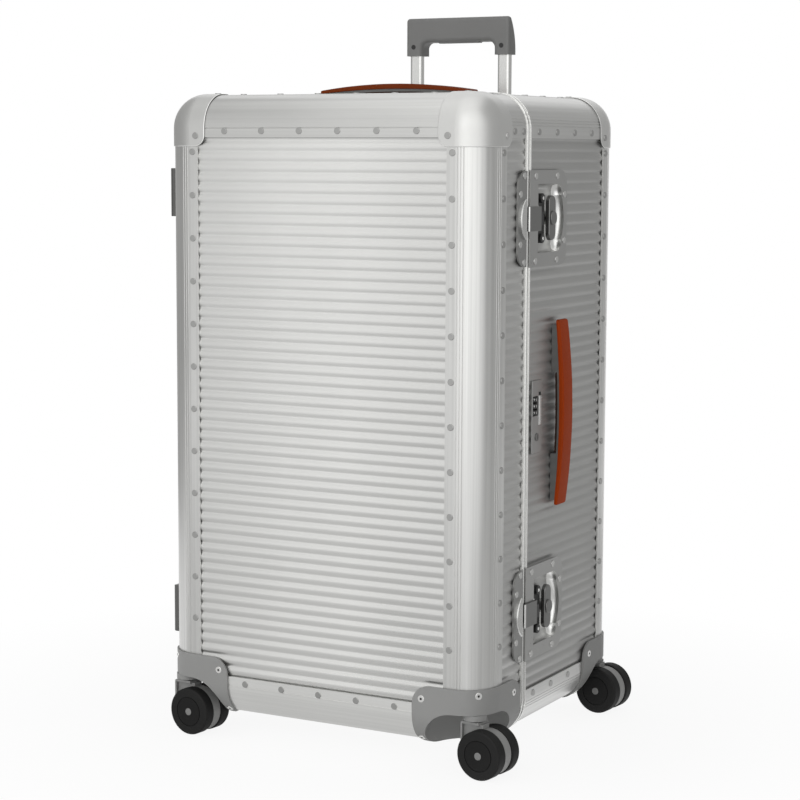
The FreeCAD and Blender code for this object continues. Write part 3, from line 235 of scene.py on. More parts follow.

# Slow changes over the same sheets: a slope's direction and start, then the ramp or the ends that it
# drives; the two ramps are painted shade, darker toward both sides and toward the foot, and the ends move
# the roughness
ACROSS = ((2.78, 0.0, 0.0), 0.5)
SIDE_PAINTED_SHADE = ((0.06, 0.90), (0.36, 1.0), (0.62, 1.0), (0.96, 0.86))
UPWARD = ((0.0, 0.0, 1.25), 0.0)
FOOT_PAINTED_SHADE = ((0.10, 0.95), (0.45, 1.0))
DOWNWARD = ((0.6, 0.0, -1.1), 0.93)
GLOSS_ENDS = (0.12, -0.15)


def tone(level, tint=0.985):
    """Neutral tone, a little warm."""
    return (level, level, level * tint)


def metal(name, level, rough, brush, depth=BRUSHED, streak=0.0, gap_shadows=(), painted_shade_and_gloss=False):
    """Satin aluminium or steel with brush marks.

    streak is the depth of broad drawing marks, the gap heights get a painted shadow line where the edge of
    a flange ends, and the last switch smooths the sheet toward its foot and paints shade on it toward its
    foot and both sides.
    """
    s = Surface(name)
    s.set(Metallic=1.0)
    lines = s.noise(scale=1.0, detail=5.0, rough=0.6, vector=s.stretched(brush))
    cloud = s.noise(scale=9.0, detail=3.0)
    shade = s.mix(cloud, tone(level - CLOUD_TONE), tone(level + CLOUD_TONE))
    if streak:
        wide = s.stretched(tuple(MARK_WIDTH * size for size in brush))
        marks = s.noise(scale=1.0, detail=2.0, rough=0.5, vector=wide)
        levels = (1 - 2 * streak, 1.0)
        shade = s.times(shade, s.ramp(marks, tuple(zip(MARK_EDGES, levels))))
    # Painted shadow: a thin darker band of the sheet's tone at each gap height
    for height, dark in gap_shadows:
        shade = s.mix(s.at_height(height, GAP_SHADOW_HALF), shade, tone(dark * level))
    roughness = s.sum(s.spread(lines, rough - BRUSH_ROUGH, rough + BRUSH_ROUGH),
                      s.spread(cloud, -CLOUD_ROUGH, CLOUD_ROUGH))
    if painted_shade_and_gloss:
        # Painted shade: darker toward both sides and toward the foot; the roughness falls toward the foot
        shade = s.times(shade, s.ramp(s.slope(*ACROSS), SIDE_PAINTED_SHADE))
        shade = s.times(shade, s.ramp(s.slope(*UPWARD), FOOT_PAINTED_SHADE))
        roughness = s.sum(roughness, s.spread(s.slope(*DOWNWARD), *GLOSS_ENDS))
    s.colour(shade)
    s.rough(roughness)
    s.bump(lines, strength=0.35, distance=depth)
    return s.mat


def plastic(name, level, rough, grain=900.0, depth=0.00006, shine=0.5):
    """Moulded plastic or rubber with a fine spark-eroded grain."""
    s = Surface(name)
    s.set(Specular_IOR_Level=shine)
    speck = s.noise(scale=grain, detail=3.0, rough=0.6)
    cloud = s.noise(scale=14.0, detail=3.0)
    s.colour(s.mix(cloud, tone(level * 0.93), tone(level * 1.07)))
    s.rough(s.sum(s.spread(speck, rough - 0.06, rough + 0.08),
                  s.spread(cloud, -CLOUD_ROUGH, CLOUD_ROUGH)))
    s.bump(speck, strength=0.3, distance=depth)
    return s.mat


def leather(name, low, high):
    """Grained leather whose colour drifts between two tones."""
    s = Surface(name)
    s.set(Specular_IOR_Level=0.06)
    pores = s.cells(scale=520.0)
    folds = s.noise(scale=60.0, detail=5.0, rough=0.6)
    cloud = s.noise(scale=18.0, detail=3.0)
    grain = s.ramp(pores, ((0.0, 0.6), (0.35, 1.0)))
    s.colour(s.times(s.mix(cloud, low, high), grain, share=0.45))
    s.rough(s.sum(s.spread(folds, 0.40, 0.56), pores, share=-0.1))
    s.bump(s.sum(folds, pores, share=0.8), strength=0.35, distance=0.00025)
    return s.mat


def woven(name, low, high):
    """Plain weave with threads along all three axes."""
    s = Surface(name)
    threads = []
    for direction in ("X", "Y", "Z"):
        wave = s.node("ShaderNodeTexWave", bands_direction=direction)
        wave.inputs["Scale"].default_value = 320.0
        wave.inputs["Distortion"].default_value = 0.6
        s.link(s.place, wave.inputs["Vector"])
        threads.append(wave.outputs["Fac"])
    weave = s.sum(s.sum(threads[0], threads[1]), threads[2])
    cloud = s.noise(scale=12.0, detail=4.0)
    s.colour(s.mix(cloud, low, high))
    s.rough(s.spread(weave, 0.75, 0.9))
    s.bump(weave, strength=0.4, distance=0.0003)
    return s.mat


SHEET_X = metal("sheet_along_x", level=0.77, rough=0.44, brush=ALONG_X)
SHEET_FRONT = metal("sheet_front", level=0.82, rough=0.39, brush=ALONG_X, gap_shadows=FRONT_GAP_SHADOWS, painted_shade_and_gloss=True)
# Painted shade: the side sheets are darker copies of the same aluminium sheet
SHEET_Y_SHADED = metal("sheet_along_y_painted_shade", level=0.47, rough=0.50, brush=ALONG_Y)
SHEET_LID_SHADED = metal("sheet_lid_side_painted_shade", level=0.55, rough=0.50, brush=ALONG_Y)
EDGE_X = metal("edge_along_x", level=0.65, rough=0.34, brush=ALONG_X, streak=0.03)
# Painted light: a brighter copy of the rail metal for the rails' faces near the foot
EDGE_FOOT_LIT = metal("edge_foot_painted_light", level=0.86, rough=0.34, brush=ALONG_X, streak=0.03)
EDGE_Y = metal("edge_along_y", level=0.64, rough=0.34, brush=ALONG_Y, streak=0.03)
EDGE_Z = metal("edge_along_z", level=0.68, rough=0.34, brush=ALONG_Z, streak=0.05)
RIM = metal("rim_bright", level=0.74, rough=0.25, brush=ANY_WAY, depth=POLISHED)
CAP = metal("cap_satin", level=0.66, rough=0.42, brush=ANY_WAY, depth=POLISHED)
# Painted shadow: a dark copy of the cap metal for the narrow border faces round each cap
CAP_BORDER_SHADE = metal("cap_border_painted_shadow", level=0.22, rough=0.40, brush=ANY_WAY, depth=POLISHED)
# Painted highlight: a bright copy of the cap metal for the rounded lip of each cap
CAP_LIP_HIGHLIGHT = metal("cap_lip_painted_highlight", level=0.92, rough=0.30, brush=ANY_WAY, depth=POLISHED)
# Painted highlight: a brighter copy of the rivet metal for the rivets on the latch dishes and keepers
RIVET_LIT = metal("rivet_painted_highlight", level=0.60, rough=0.28, brush=ANY_WAY, depth=POLISHED)
RIVET = metal("rivet_satin", level=0.41, rough=0.34, brush=ANY_WAY, depth=POLISHED)
SCREW = metal("screw_bright", level=0.86, rough=0.22, brush=ANY_WAY, depth=POLISHED)
# Painted shade: near black in the sockets of the bright housing screws
SCREW_EYE_SHADE = plastic("screw_eye_painted_shade", level=0.012, rough=0.5)
TUBE = metal("tube_bright", level=0.72, rough=0.24, brush=ALONG_Z, depth=POLISHED)
LATCH = metal("latch_satin", level=0.42, rough=0.30, brush=ANY_WAY, depth=STAMPED)
# Painted highlight: a bright copy of the latch metal for the rear wall of each dish
DISH_WALL_LIT = metal("dish_wall_painted_highlight", level=0.86, rough=0.32, brush=ANY_WAY, depth=STAMPED)
KEEPER = metal("keeper_satin", level=0.33, rough=0.30, brush=ANY_WAY, depth=STAMPED)
# Painted highlight: a brighter copy of the keeper satin, for the keeper's bump and the lock slider
SATIN_HIGHLIGHT = metal("satin_painted_highlight", level=0.62, rough=0.28, brush=ANY_WAY, depth=STAMPED)
LATCH_STEEL = metal("latch_steel", level=0.22, rough=0.34, brush=ANY_WAY, depth=STAMPED)
LOCK = metal("lock_satin", level=0.36, rough=0.36, brush=ANY_WAY, depth=STAMPED)
DARK = metal("dark_metal", level=0.17, rough=0.45, brush=ANY_WAY, depth=CAST)
GREY = plastic("grey_plastic", level=0.255, rough=0.48)
# Painted shade: a darker copy of the housing plastic for the rear housings
GREY_REAR_SHADE = plastic("grey_plastic_rear_painted_shade", level=0.215, rough=0.48)
GRIP = plastic("grip_plastic", level=0.155, rough=0.48)
BLACK = plastic("black_plastic", level=0.014, rough=0.42)
DIAL = plastic("dial_dark", level=0.030, rough=0.45)
TYRE = plastic("tyre_rubber", level=0.009, rough=0.66, grain=600.0, depth=0.00008, shine=0.25)
HUB = plastic("hub_black", level=0.006, rough=0.6, shine=0.22)
PIN = plastic("axle_end", level=0.19, rough=0.45)
SEAL = plastic("seal_rubber", level=0.016, rough=0.6)
LEATHER = leather("leather_cognac", low=(0.31, 0.037, 0.002), high=(0.38, 0.047, 0.003))
# Painted shade: a darker copy of the cognac leather for the top handle
LEATHER_TOP_SHADE = leather("leather_top_painted_shade", low=(0.150, 0.026, 0.004), high=(0.185, 0.033, 0.005))
# Painted shade: a near black copy of the leather for the pad in the shadow under each strap
LEATHER_UNDER_SHADE = leather("leather_under_painted_shade", low=(0.028, 0.012, 0.008), high=(0.040, 0.017, 0.011))
LINING = woven("lining_woven", low=(0.030, 0.030, 0.032), high=(0.050, 0.050, 0.052))
NUMBER_WHITE = plastic("number_white", level=0.78, rough=0.5)


# Materials on the CAD nodes
def dress(material, *names):
    for name in names:
        slots = NODES[name].data.materials
        slots.clear()
        slots.append(material)


def dress_faces(name, material, test):
    """Give a further material to the faces of a node that pass the test."""
    mesh = NODES[name].data
    mesh.materials.append(material)
    index = len(mesh.materials) - 1
    for face in mesh.polygons:
        if test(face):
            face.material_index = index


def joint_axis(name):
    """Point on a joint's axis and its direction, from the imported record."""
    for joint in frame["record"]["behaviour"]["joints"]:
        if joint["name"] == name:
            return Vector(joint["pos_m"]), Vector(joint["axis"]).normalized()


def stands_out(height):
    """Test for faces that lie more than a height outside the right side."""
    return lambda face: face.center.x > HALF_W + height


# Lean of a corner cap's faces, where the border ends and where the skin begins
BORDER_LEAN = 0.5
SKIN_LEAN = 0.985


def cap_lean(face):
    """1 where a face of a corner cap lies in its skin, 0 where it stands square to it."""
    at = face.center
    inner = Vector((min(max(at.x, EDGE_R - HALF_W), HALF_W - EDGE_R),
                    min(max(at.y, EDGE_R - HALF_D), HALF_D - EDGE_R),
                    min(at.z, CASE_TOP - EDGE_R)))
    return abs(face.normal.dot((at - inner).normalized()))


def on_cap_border(face):
    """True for the narrow faces round a corner cap, which stand square to the skin."""
    return cap_lean(face) < BORDER_LEAN


def on_cap_lip(face):
    """True for the rounded edge between a cap's skin and its border."""
    return BORDER_LEAN <= cap_lean(face) < SKIN_LEAN


HUB_R = 0.0187
PIN_R = 0.0047
PIN_DEEP = 0.0008
WHEEL_OUT = 0.0230


def dress_wheels(name):
    """Tyre on the tread, darker hub inside the groove, pale end of the axle."""
    at, axis = joint_axis(name.replace("wheels", "roll"))

    def spot(face):
        """Distances of a face from the axle and along it."""
        off = face.center - at
        return (off - axis * off.dot(axis)).length, abs(off.dot(axis))

    def in_hub(face):
        radius, along = spot(face)
        return radius < HUB_R and along > 0.5 * WHEEL_OUT

    def on_pin(face):
        radius, along = spot(face)
        return radius < PIN_R and along > WHEEL_OUT - PIN_DEEP

    dress(TYRE, name)
    dress_faces(name, HUB, in_hub)
    dress_faces(name, PIN, on_pin)


# Housing screws: turn round the lower edge, stand over the skin, distances from the sides and the base
SCREW_TURN = math.radians(50.0)
SCREW_STAND = 0.0025
FLANK_IN = 0.080
FLANK_UP = CASE_LOW + 0.059
CORNER_UP = CASE_LOW + 0.068
UNDER_IN = 0.0865
EYE_REACH = 0.004
EYE_R = 0.00152


def screw_spots():
    """Centre and outward direction of each housing screw, for all four corners."""
    off = EDGE_R + SCREW_STAND
    corner = Vector((HALF_W - EDGE_R, HALF_D - EDGE_R, CASE_LOW + EDGE_R))
    front = Vector((0, math.cos(SCREW_TURN), -math.sin(SCREW_TURN)))
    side = Vector((math.cos(SCREW_TURN), 0, -math.sin(SCREW_TURN)))
    slant = Vector((1, 1, 0)).normalized()
    spots = [(Vector((HALF_W - FLANK_IN, HALF_D + SCREW_STAND, FLANK_UP)), Vector((0, 1, 0))),
             (Vector((HALF_W + SCREW_STAND, HALF_D - FLANK_IN, FLANK_UP)), Vector((1, 0, 0))),
             (Vector((corner.x, corner.y, CORNER_UP)) + slant * off, slant),
             (Vector((HALF_W - UNDER_IN, corner.y, corner.z)) + front * off, front),
             (Vector((corner.x, HALF_D - UNDER_IN, corner.z)) + side * off, side)]
    for at, way in spots:
        for x in (-1, 1):
            for y in (-1, 1):
                flip = Vector((x, y, 1))
                yield at * flip, way * flip


SCREW_SPOTS = list(screw_spots())


def in_screw_eye(face):
    """True for the faces inside a housing screw's socket."""
    for at, way in SCREW_SPOTS:
        off = face.center - at
        if off.length < EYE_REACH and (off - way * off.dot(way)).length < EYE_R:
            return True
    return False


FOOT_TOP = CASE_LOW + 2 * EDGE_R
DISH_RIVETS_OUT = 0.0029
KEEPER_RIVETS_OUT = 0.0011
KEEPER_BUMP_OUT = 0.0014
DISH_Y = -0.055
WALL_LEAN = -0.25
HOOK_BACK = -0.0565
HOOK_NOSE = -0.0881


def on_dish_wall(face):
    """True for the wall at the rear of a latch dish, which faces the parting plane."""
    return face.normal.y < WALL_LEAN and face.center.y > DISH_Y


dress(SHEET_FRONT, "lid_front_panel", "case_rear_panel")
dress(SHEET_X, "lid_end_panels", "case_top_panel", "case_bottom_panel")
# The side panels take the darker sheet copies, a painted shade
dress(SHEET_LID_SHADED, "lid_side_panels")
dress(SHEET_Y_SHADED, "case_side_panel_left", "case_side_panel_right")
# The faces of the rails near the foot take the brighter copy, a painted light
for rails in ("lid_front_rails", "case_rear_rails"):
    dress(EDGE_X, rails)
    dress_faces(rails, EDGE_FOOT_LIT, lambda face: face.center.z < FOOT_TOP)
dress(EDGE_Y, "lid_corner_edges", "case_corner_edges")
dress(EDGE_Z, "lid_front_stiles", "case_rear_stiles")
dress(RIM, "lid_rim", "case_rim")
for caps in ("lid_corner_caps", "case_corner_caps"):
    dress(CAP, caps)
    # Painted shadow on the narrow border faces of each cap
    dress_faces(caps, CAP_BORDER_SHADE, on_cap_border)
    # Painted highlight on the rounded lip of each cap
    dress_faces(caps, CAP_LIP_HIGHLIGHT, on_cap_lip)
dress(RIVET, "lid_rivets", "case_rivets")
# Rivets on the latch dishes and keepers take the brighter copy, a painted highlight
dress_faces("case_rivets", RIVET_LIT, stands_out(DISH_RIVETS_OUT))
dress_faces("lid_rivets", RIVET_LIT, stands_out(KEEPER_RIVETS_OUT))
dress(SCREW, "lid_housing_screws", "case_housing_screws", "hinge_pins")
# The sockets of the housing screws take the near black, a painted shade
for screws in ("lid_housing_screws", "case_housing_screws"):
    dress_faces(screws, SCREW_EYE_SHADE, in_screw_eye)
dress(GREY, "lid_wheel_housings", "handle_bezel")
# The rear housings take the darker plastic copy, a painted shade
dress(GREY_REAR_SHADE, "case_wheel_housings")
dress(GRIP, "grip", "grip_button")
dress(DARK, "hinge_lid_leaves", "hinge_case_leaves", "handle_brackets")
dress(LATCH, "latch_dishes")
# The rear wall of each latch dish takes the bright copy, a painted highlight
dress_faces("latch_dishes", DISH_WALL_LIT, on_dish_wall)
dress(KEEPER, "latch_keepers")
# The keeper's bump takes the brighter copy, a painted highlight
dress_faces("latch_keepers", SATIN_HIGHLIGHT, stands_out(KEEPER_BUMP_OUT))
dress(BLACK, "latch_blocks", "grip_plugs")
for hook in ("latch_hook_upper", "latch_hook_lower"):
    dress(LATCH_STEEL, hook)
    dress_faces(hook, BLACK, lambda face: face.center.y > HOOK_BACK)
    # Painted highlight: the hook's nose takes the bright screw metal
    dress_faces(hook, SCREW, lambda face: face.center.y < HOOK_NOSE)
dress(LATCH_STEEL, "latch_lever_upper", "latch_lever_lower", "lock_key")
dress(DIAL, "lock_dial_1", "lock_dial_2", "lock_dial_3")
# The lock slider is polished; its bright tone is a painted highlight
dress(SATIN_HIGHLIGHT, "lock_slider")
dress(LOCK, "lock_plate")
dress(TUBE, "grip_tubes", "handle_sleeves")
dress(SEAL, "case_seal")
for corner in ("front_left", "front_right", "rear_left", "rear_right"):
    dress(GREY, "caster_fork_" + corner)
    dress_wheels("caster_wheels_" + corner)


# Leather handles: bowed strap and under pad, over the metal core, in millimetres
STRAP_W = 28.0
TOP_STRAP_L = 213.0
SIDE_STRAP_L = 229.0
PAD_SHORTER = 65.0
PAD_NARROWER = 2.4
ROUND_STEP = 15
RUN_STEPS = 24
EDGE_WAVE = 0.15
WAVE_RATE = 0.11

# Each layer's heights at the ends and in the middle, and the rounds of its corners and edges
HIDE_LAYER = {"top": (8.4, 16.4), "low": (4.3, 10.0), "corner": 3.5, "edge": 1.7}
PAD_LAYER = {"top": (0.9, 6.6), "low": (-1.1, 4.6), "corner": 2.5, "edge": 1.2}

# Where the handles sit on the case, in metres
HANDLE_Y = 0.005
SIDE_HANDLE_Z = 0.4145


def rounded_section(half, top, low, round_top, round_low):
    """Points of a strap's cross section, from the low right corner round over the top."""
    points = []
    corners = ((half, low, round_low, -90), (half, top, round_top, 0),
               (-half, top, round_top, 90), (-half, low, round_low, 180))
    for y, z, radius, start in corners:
        centre_y = y - math.copysign(radius, y)
        centre_z = z - radius if z == top else z + radius
        for turn in range(0, 91, ROUND_STEP):
            angle = math.radians(start + turn)
            points.append((centre_y + radius * math.cos(angle), centre_z + radius * math.sin(angle)))
    return points


def bow(x, half, ends, middle):
    """Height of a bowed strap at a place along it."""
    return middle - (middle - ends) * (x / half) ** 2


def strap_stations(reach, corner):
    """Places along a strap, close together where its ends are rounded."""
    run = reach - corner
    ends = [reach - corner * (1 - math.cos(math.radians(turn))) for turn in range(0, 90, ROUND_STEP)]
    inner = [run - run * step / RUN_STEPS for step in range(RUN_STEPS + 1)]
    half = ends + inner
    return [-x for x in half] + half[-2::-1]


def rounding(left, radius):
    """How far a round of a radius has drawn in at a distance from the end."""
    return radius - math.sqrt(max(radius ** 2 - max(radius - left, 0) ** 2, 0))


def skin_loops(maker, loops):
    """Close a row of equal loops with faces and both end caps."""
    for one, two in zip(loops, loops[1:]):
        for index in range(len(one)):
            after = (index + 1) % len(one)
            maker.faces.new((one[index], one[after], two[after], two[index]))
    maker.faces.new(loops[0][::-1])
    maker.faces.new(loops[-1])


def strap_body(maker, reach, half, width, top, low, corner, edge):
    """Loft one leather layer along X; reach is its own half length, half that of the whole strap."""
    loops = []
    for x in strap_stations(reach, corner):
        left = reach - abs(x)
        drop = rounding(left, edge)
        high = bow(x, half, *top) - drop
        deep = bow(x, half, *low) + 0.5 * drop
        section = rounded_section(width / 2 - rounding(left, corner), high, deep, edge, 0.6 * edge)
        wave = EDGE_WAVE * math.sin(WAVE_RATE * x)
        loops.append([maker.verts.new((x * MM, (y + wave) * MM, z * MM)) for y, z in section])
    skin_loops(maker, loops)


def new_piece(name, maker, *materials, smooth=None):
    """Object from a finished bmesh; smooth sets the shading of all faces, and None leaves it."""
    mesh = bpy.data.meshes.new(name)
    maker.to_mesh(mesh)
    maker.free()
    for material in materials:
        mesh.materials.append(material)
    if smooth is not None:
        for face in mesh.polygons:
            face.use_smooth = smooth
    piece = bpy.data.objects.new(name, mesh)
    scene.collection.objects.link(piece)
    return piece


def leather_strap(name, node, length, place, hide):
    half = length / 2
    maker = bmesh.new()
    strap_body(maker, half, half, STRAP_W, **HIDE_LAYER)
    for face in maker.faces:
        face.tag = True
    strap_body(maker, half - PAD_SHORTER, half, STRAP_W - PAD_NARROWER, **PAD_LAYER)
    for face in maker.faces:
        face.material_index = 0 if face.tag else 1
    bmesh.ops.recalc_face_normals(maker, faces=maker.faces)
    # The under pad takes the near black copy, a painted shade
    piece = new_piece(name, maker, hide, LEATHER_UNDER_SHADE, smooth=True)
    piece.data.transform(place)
    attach(piece, "case")
    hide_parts(node)


on_top = Matrix.Translation((0, HANDLE_Y, CASE_TOP))
# The top handle takes the darker leather copy, a painted shade
leather_strap("top_strap_leather", "top_strap", TOP_STRAP_L, on_top, LEATHER_TOP_SHADE)
on_side = Matrix(((0, 0, 1, HALF_W), (0, -1, 0, HANDLE_Y), (1, 0, 0, SIDE_HANDLE_Z), (0, 0, 0, 1)))
leather_strap("side_strap_leather", "side_strap", SIDE_STRAP_L, on_side, LEATHER)


# Fabric linings: the trays of the frame, divided finely and slackened a little
CUT_LENGTHS = (0.16, 0.08, 0.04)
SLACK = 0.0004
FOLD_RATE = 14.0
CREASE_RATE = 37.0
WELD = 1e-6


def fabric_lining(name, node, body):
    maker = bmesh.new()
    maker.from_mesh(NODES[node].data)
    bmesh.ops.remove_doubles(maker, verts=maker.verts, dist=WELD)
    for limit in CUT_LENGTHS:
        long_edges = [edge for edge in maker.edges if edge.calc_length() > limit]
        bmesh.ops.subdivide_edges(maker, edges=long_edges, cuts=1)
        bmesh.ops.triangulate(maker, faces=[face for face in maker.faces if len(face.verts) > 3])
    maker.normal_update()
    for vert in maker.verts:
        slack = noise.noise(vert.co * FOLD_RATE) + 0.5 * noise.noise(vert.co * CREASE_RATE)
        vert.co += vert.normal * slack * SLACK
    area = sum(face.calc_area() for face in maker.faces) / 2
    piece = new_piece(name, maker, LINING)
    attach(piece, body)
    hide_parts(node)


fabric_lining("case_lining_fabric", "case_lining", "case")
fabric_lining("lid_lining_fabric", "lid_lining", "lid")


# Numbers round each lock dial
DIAL_R = 0.0065
DIGITS = 10
DIGIT_SIZE = 0.0038
DIGIT_THICK = 0.00004
DIGIT_LIFT = 0.00003


def digit_shape(digit):
    """Flat mesh of one digit in the default font."""
    curve = bpy.data.curves.new("digit", "FONT")
    curve.body = str(digit)
    curve.size = DIGIT_SIZE
    curve.extrude = DIGIT_THICK
    curve.align_x = "CENTER"
    curve.align_y = "CENTER"
    holder = bpy.data.objects.new("digit", curve)
    scene.collection.objects.link(holder)
    bpy.context.view_layer.update()
    ready = holder.evaluated_get(bpy.context.evaluated_depsgraph_get())
    shape = bpy.data.meshes.new_from_object(ready)
    bpy.data.objects.remove(holder)
    bpy.data.curves.remove(curve)
    return shape


def dial_numbers(index):
    at, _ = joint_axis("dial_turn_" + str(index))
    out = Matrix(((0, 0, 1, DIAL_R + DIGIT_LIFT), (1, 0, 0, 0), (0, 1, 0, 0), (0, 0, 0, 1)))
    parts = bmesh.new()
    for digit in range(DIGITS):
        shape = digit_shape(digit)
        turn = Matrix.Rotation(math.radians(360.0 / DIGITS * digit), 4, "Z")
        shape.transform(Matrix.Translation(at) @ turn @ out)
        parts.from_mesh(shape)
        bpy.data.meshes.remove(shape)
    piece = new_piece("dial_numbers_" + str(index), parts, NUMBER_WHITE, smooth=False)
    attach(piece, "lock_dial_" + str(index))


for number in (1, 2, 3):
    dial_numbers(number)


# Bright pins and springs on the black latch blocks
LATCH_LEVELS = {"upper": 0.653, "lower": 0.176}
BLOCK_TOP = 0.2210
DRUM_TOP = 0.2250
TURNED_SIDES = 20
DOME_SHARE = 0.35
DOME_TIP = 0.0002

# Each pair of pins: foot, distances behind the parting plane and from the middle, radius and height
PINS = ((DRUM_TOP, 0.038, 0.024, 0.0022, 0.0010),
        (BLOCK_TOP, 0.0265, 0.0135, 0.0020, 0.0032),
        (BLOCK_TOP, 0.0255, 0.0245, 0.0017, 0.0026))

# Spring: number of coils, start behind the parting plane, pitch, height, and a coil's profile
COILS = 7
COIL_START = 0.0240
COIL_PITCH = 0.0013
COIL_X = BLOCK_TOP + 0.0028
COIL = [(-0.0002, 0.0024), (0.0002, 0.0024), (0.0004, 0.0020), (0.0, 0.0018), (-0.0004, 0.0020)]


def turned(maker, base, direction, profile):
    """Body of revolution; profile is a list of (distance along, radius)."""
    along = Vector(direction)
    side = along.orthogonal().normalized()
    other = along.cross(side)
    loops = []
    for reach, radius in profile:
        loop = []
        for step in range(TURNED_SIDES):
            angle = 2 * math.pi * step / TURNED_SIDES
            ray = side * math.cos(angle) + other * math.sin(angle)
            loop.append(maker.verts.new(Vector(base) + along * reach + ray * radius))
        loops.append(loop)
    skin_loops(maker, loops)


def domed_pin(radius, height):
    """Profile of a pin with a low dome."""
    profile = [(0.0, radius)]
    for turn in range(90, 0, -ROUND_STEP):
        angle = math.radians(turn)
        reach = height - DOME_SHARE * radius * (1 - math.cos(angle))
        profile.append((reach, max(radius * math.sin(angle), DOME_TIP)))
    return profile


def latch_pins(name, level):
    maker = bmesh.new()
    for up in (-1, 1):
        for foot, behind, away, radius, height in PINS:
            turned(maker, (foot, PART_Y + behind, level + up * away), (1, 0, 0), domed_pin(radius, height))
    for step in range(COILS):
        turned(maker, (COIL_X, PART_Y + COIL_START + COIL_PITCH * step, level), (0, 1, 0), COIL)
    bmesh.ops.recalc_face_normals(maker, faces=maker.faces)
    piece = new_piece("latch_pins_" + name, maker, SCREW, smooth=True)
    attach(piece, "case")


for latch, latch_level in LATCH_LEVELS.items():
    latch_pins(latch, latch_level)


# Studio: white background and floor, two soft lamps, and cards that only reflections see
WORLD_LIGHT = (0.55, 0.55, 0.545, 1)
FLOOR_SIZE = 12.0
FLOOR_TONE = (0.9, 0.9, 0.9, 1)
FLOOR_ROUGH = 0.9
FLOOR_GAP = 0.002

# Share of plain white in the floor, from near the trunk to far from it
FLOOR_FADE = {"From Min": 0.32, "From Max": 0.8, "To Min": 0.90, "To Max": 1.0}


def white_rays(tree):
    """1 for rays from the camera, from gloss and through glass, which see the white background."""
    path = tree.nodes.new("ShaderNodeLightPath")
    total = path.outputs["Is Camera Ray"]
    for other in ("Is Glossy Ray", "Is Transmission Ray"):
        more = tree.nodes.new("ShaderNodeMath")
        more.operation = "MAXIMUM"
        tree.links.new(total, more.inputs[0])
        tree.links.new(path.outputs[other], more.inputs[1])
        total = more.outputs[0]
    return total


def mix_shaders(tree, fac, one, two, out):
    mix = tree.nodes.new("ShaderNodeMixShader")
    tree.links.new(fac, mix.inputs[0])
    tree.links.new(one.outputs[0], mix.inputs[1])
    tree.links.new(two.outputs[0], mix.inputs[2])
    tree.links.new(mix.outputs[0], out.inputs[0])


def make_world():
    world = bpy.data.worlds.new("studio")
    world.use_nodes = True
    scene.world = world
    tree = world.node_tree
    tree.nodes.clear()
    out = tree.nodes.new("ShaderNodeOutputWorld")
    seen = tree.nodes.new("ShaderNodeBackground")
    seen.inputs["Color"].default_value = (1, 1, 1, 1)
    lit = tree.nodes.new("ShaderNodeBackground")
    lit.inputs["Color"].default_value = WORLD_LIGHT
    mix_shaders(tree, white_rays(tree), lit, seen, out)


def stage_plane(name, corners):
    mesh = bpy.data.meshes.new(name)
    mesh.from_pydata(corners, [], [(0, 1, 2, 3)])
    plane = bpy.data.objects.new(name, mesh)
    scene.collection.objects.link(plane)
    mat = bpy.data.materials.new(name)
    mat.use_nodes = True
    mesh.materials.append(mat)
    return plane, mat.node_tree


def level_card(near, far, height=FLOOR_GAP):
    """Corners of a level card; its near and far sides are given as left, right and depth."""
    return [(near[0], near[2], height), (near[1], near[2], height),
            (far[1], far[2], height), (far[0], far[2], height)]


def upright_card(left, right, low, high):
    """Corners of an upright card between two places on the floor."""
    return [(*left, low), (*right, low), (*right, high), (*left, high)]


def make_floor():
    """White floor that keeps a soft shadow near the trunk and runs into the background."""
    near = (-FLOOR_SIZE, FLOOR_SIZE, -FLOOR_SIZE)
    far = (-FLOOR_SIZE, FLOOR_SIZE, FLOOR_SIZE)
    _, tree = stage_plane("floor", level_card(near, far, height=0))
    bsdf = tree.nodes["Principled BSDF"]
    bsdf.inputs["Base Color"].default_value = FLOOR_TONE
    bsdf.inputs["Roughness"].default_value = FLOOR_ROUGH
    glow = tree.nodes.new("ShaderNodeEmission")
    place = tree.nodes.new("ShaderNodeNewGeometry").outputs["Position"]
    away = tree.nodes.new("ShaderNodeVectorMath")
    away.operation = "LENGTH"
    tree.links.new(place, away.inputs[0])
    share = tree.nodes.new("ShaderNodeMapRange")
    for key, value in FLOOR_FADE.items():
        share.inputs[key].default_value = value
    tree.links.new(away.outputs["Value"], share.inputs["Value"])
    fac = tree.nodes.new("ShaderNodeMath")
    fac.operation = "MULTIPLY"
    tree.links.new(share.outputs[0], fac.inputs[0])
    tree.links.new(white_rays(tree), fac.inputs[1])
    mix_shaders(tree, fac.outputs[0], bsdf, glow, tree.nodes["Material Output"])


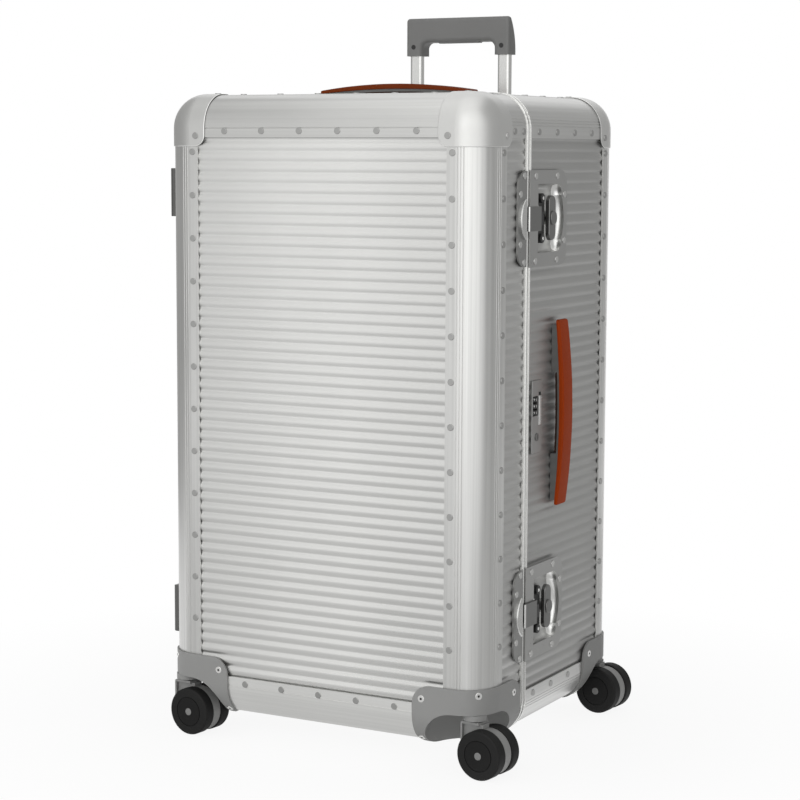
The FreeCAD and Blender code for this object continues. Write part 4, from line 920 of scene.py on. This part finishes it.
def reflected_card(name, corners, level):
    """Glowing card that only reflections see, grey to darken a side or bright to light it."""
    card, tree = stage_plane(name, corners)
    glow = tree.nodes.new("ShaderNodeEmission")
    glow.inputs["Color"].default_value = (*tone(level, tint=0.99), 1)
    tree.links.new(glow.outputs[0], tree.nodes["Material Output"].inputs[0])
    card.visible_camera = False
    card.visible_diffuse = False
    card.visible_shadow = False


def area_light(name, at, size, power):
    """Soft lamp that aims at the middle of the trunk and doesn't show in reflections."""
    data = bpy.data.lights.new(name, "AREA")
    data.shape = "RECTANGLE"
    data.size, data.size_y = size
    data.energy = power
    lamp = bpy.data.objects.new(name, data)
    lamp.location = at
    lamp.rotation_euler = (LAMP_AIM - Vector(at)).to_track_quat("-Z", "Y").to_euler()
    lamp.visible_glossy = False
    scene.collection.objects.link(lamp)


LAMP_AIM = Vector((0, 0, 0.45))
LEANING_RIGHT = [(2.6, -0.8, 0), (0.5, 3.4, 0), (0.2, 2.6, 3.4), (1.8, -1.0, 3.4)]
LEANING_LEFT = [(-1.9, -2.2, 0), (-1.6, 1.0, 0), (-1.4, 1.0, 3.0), (-1.6, -2.2, 3.0)]
CARDS = (
    ("flag_right", LEANING_RIGHT, 0.47),
    ("flag_left", LEANING_LEFT, 0.42),
    ("flag_floor_front", level_card((-1.6, 0.3, -1.60), (-0.7, 0.3, -0.42)), 0.62),
    ("flag_floor_near", level_card((-0.7, 0.2, -0.42), (-0.4, 0.2, -0.27)), 0.60),
    ("flag_floor_under", level_card((-0.4, 0.2, -0.27), (-0.2, 0.2, 0.15)), 0.58),
    ("card_horizon", upright_card((-4.0, -2.6), (-0.5, -3.8), low=0.1, high=2.6), 0.92),
    ("flag_floor", level_card((0.34, 2.2, -0.9), (0.34, 2.0, 1.4)), 0.50),
    ("flag_top", level_card((-2.6, 2.2, -4.0), (-2.6, 2.2, 0.4), height=3.6), 1.18),
    ("card_front", upright_card((-0.5, -3.8), (1.0, -3.3), low=0, high=5.0), 1.72),
    ("card_side", upright_card((1.0, -3.3), (3.3, -2.3), low=0, high=5.0), 1.36),
)

make_world()
make_floor()
for card_name, card_corners, card_level in CARDS:
    reflected_card(card_name, card_corners, card_level)
area_light("key_front", at=(0.7, -4.2, 1.8), size=(4.2, 2.6), power=60)
area_light("fill_left", at=(-2.6, -3.4, 2.4), size=(3.0, 2.6), power=26)
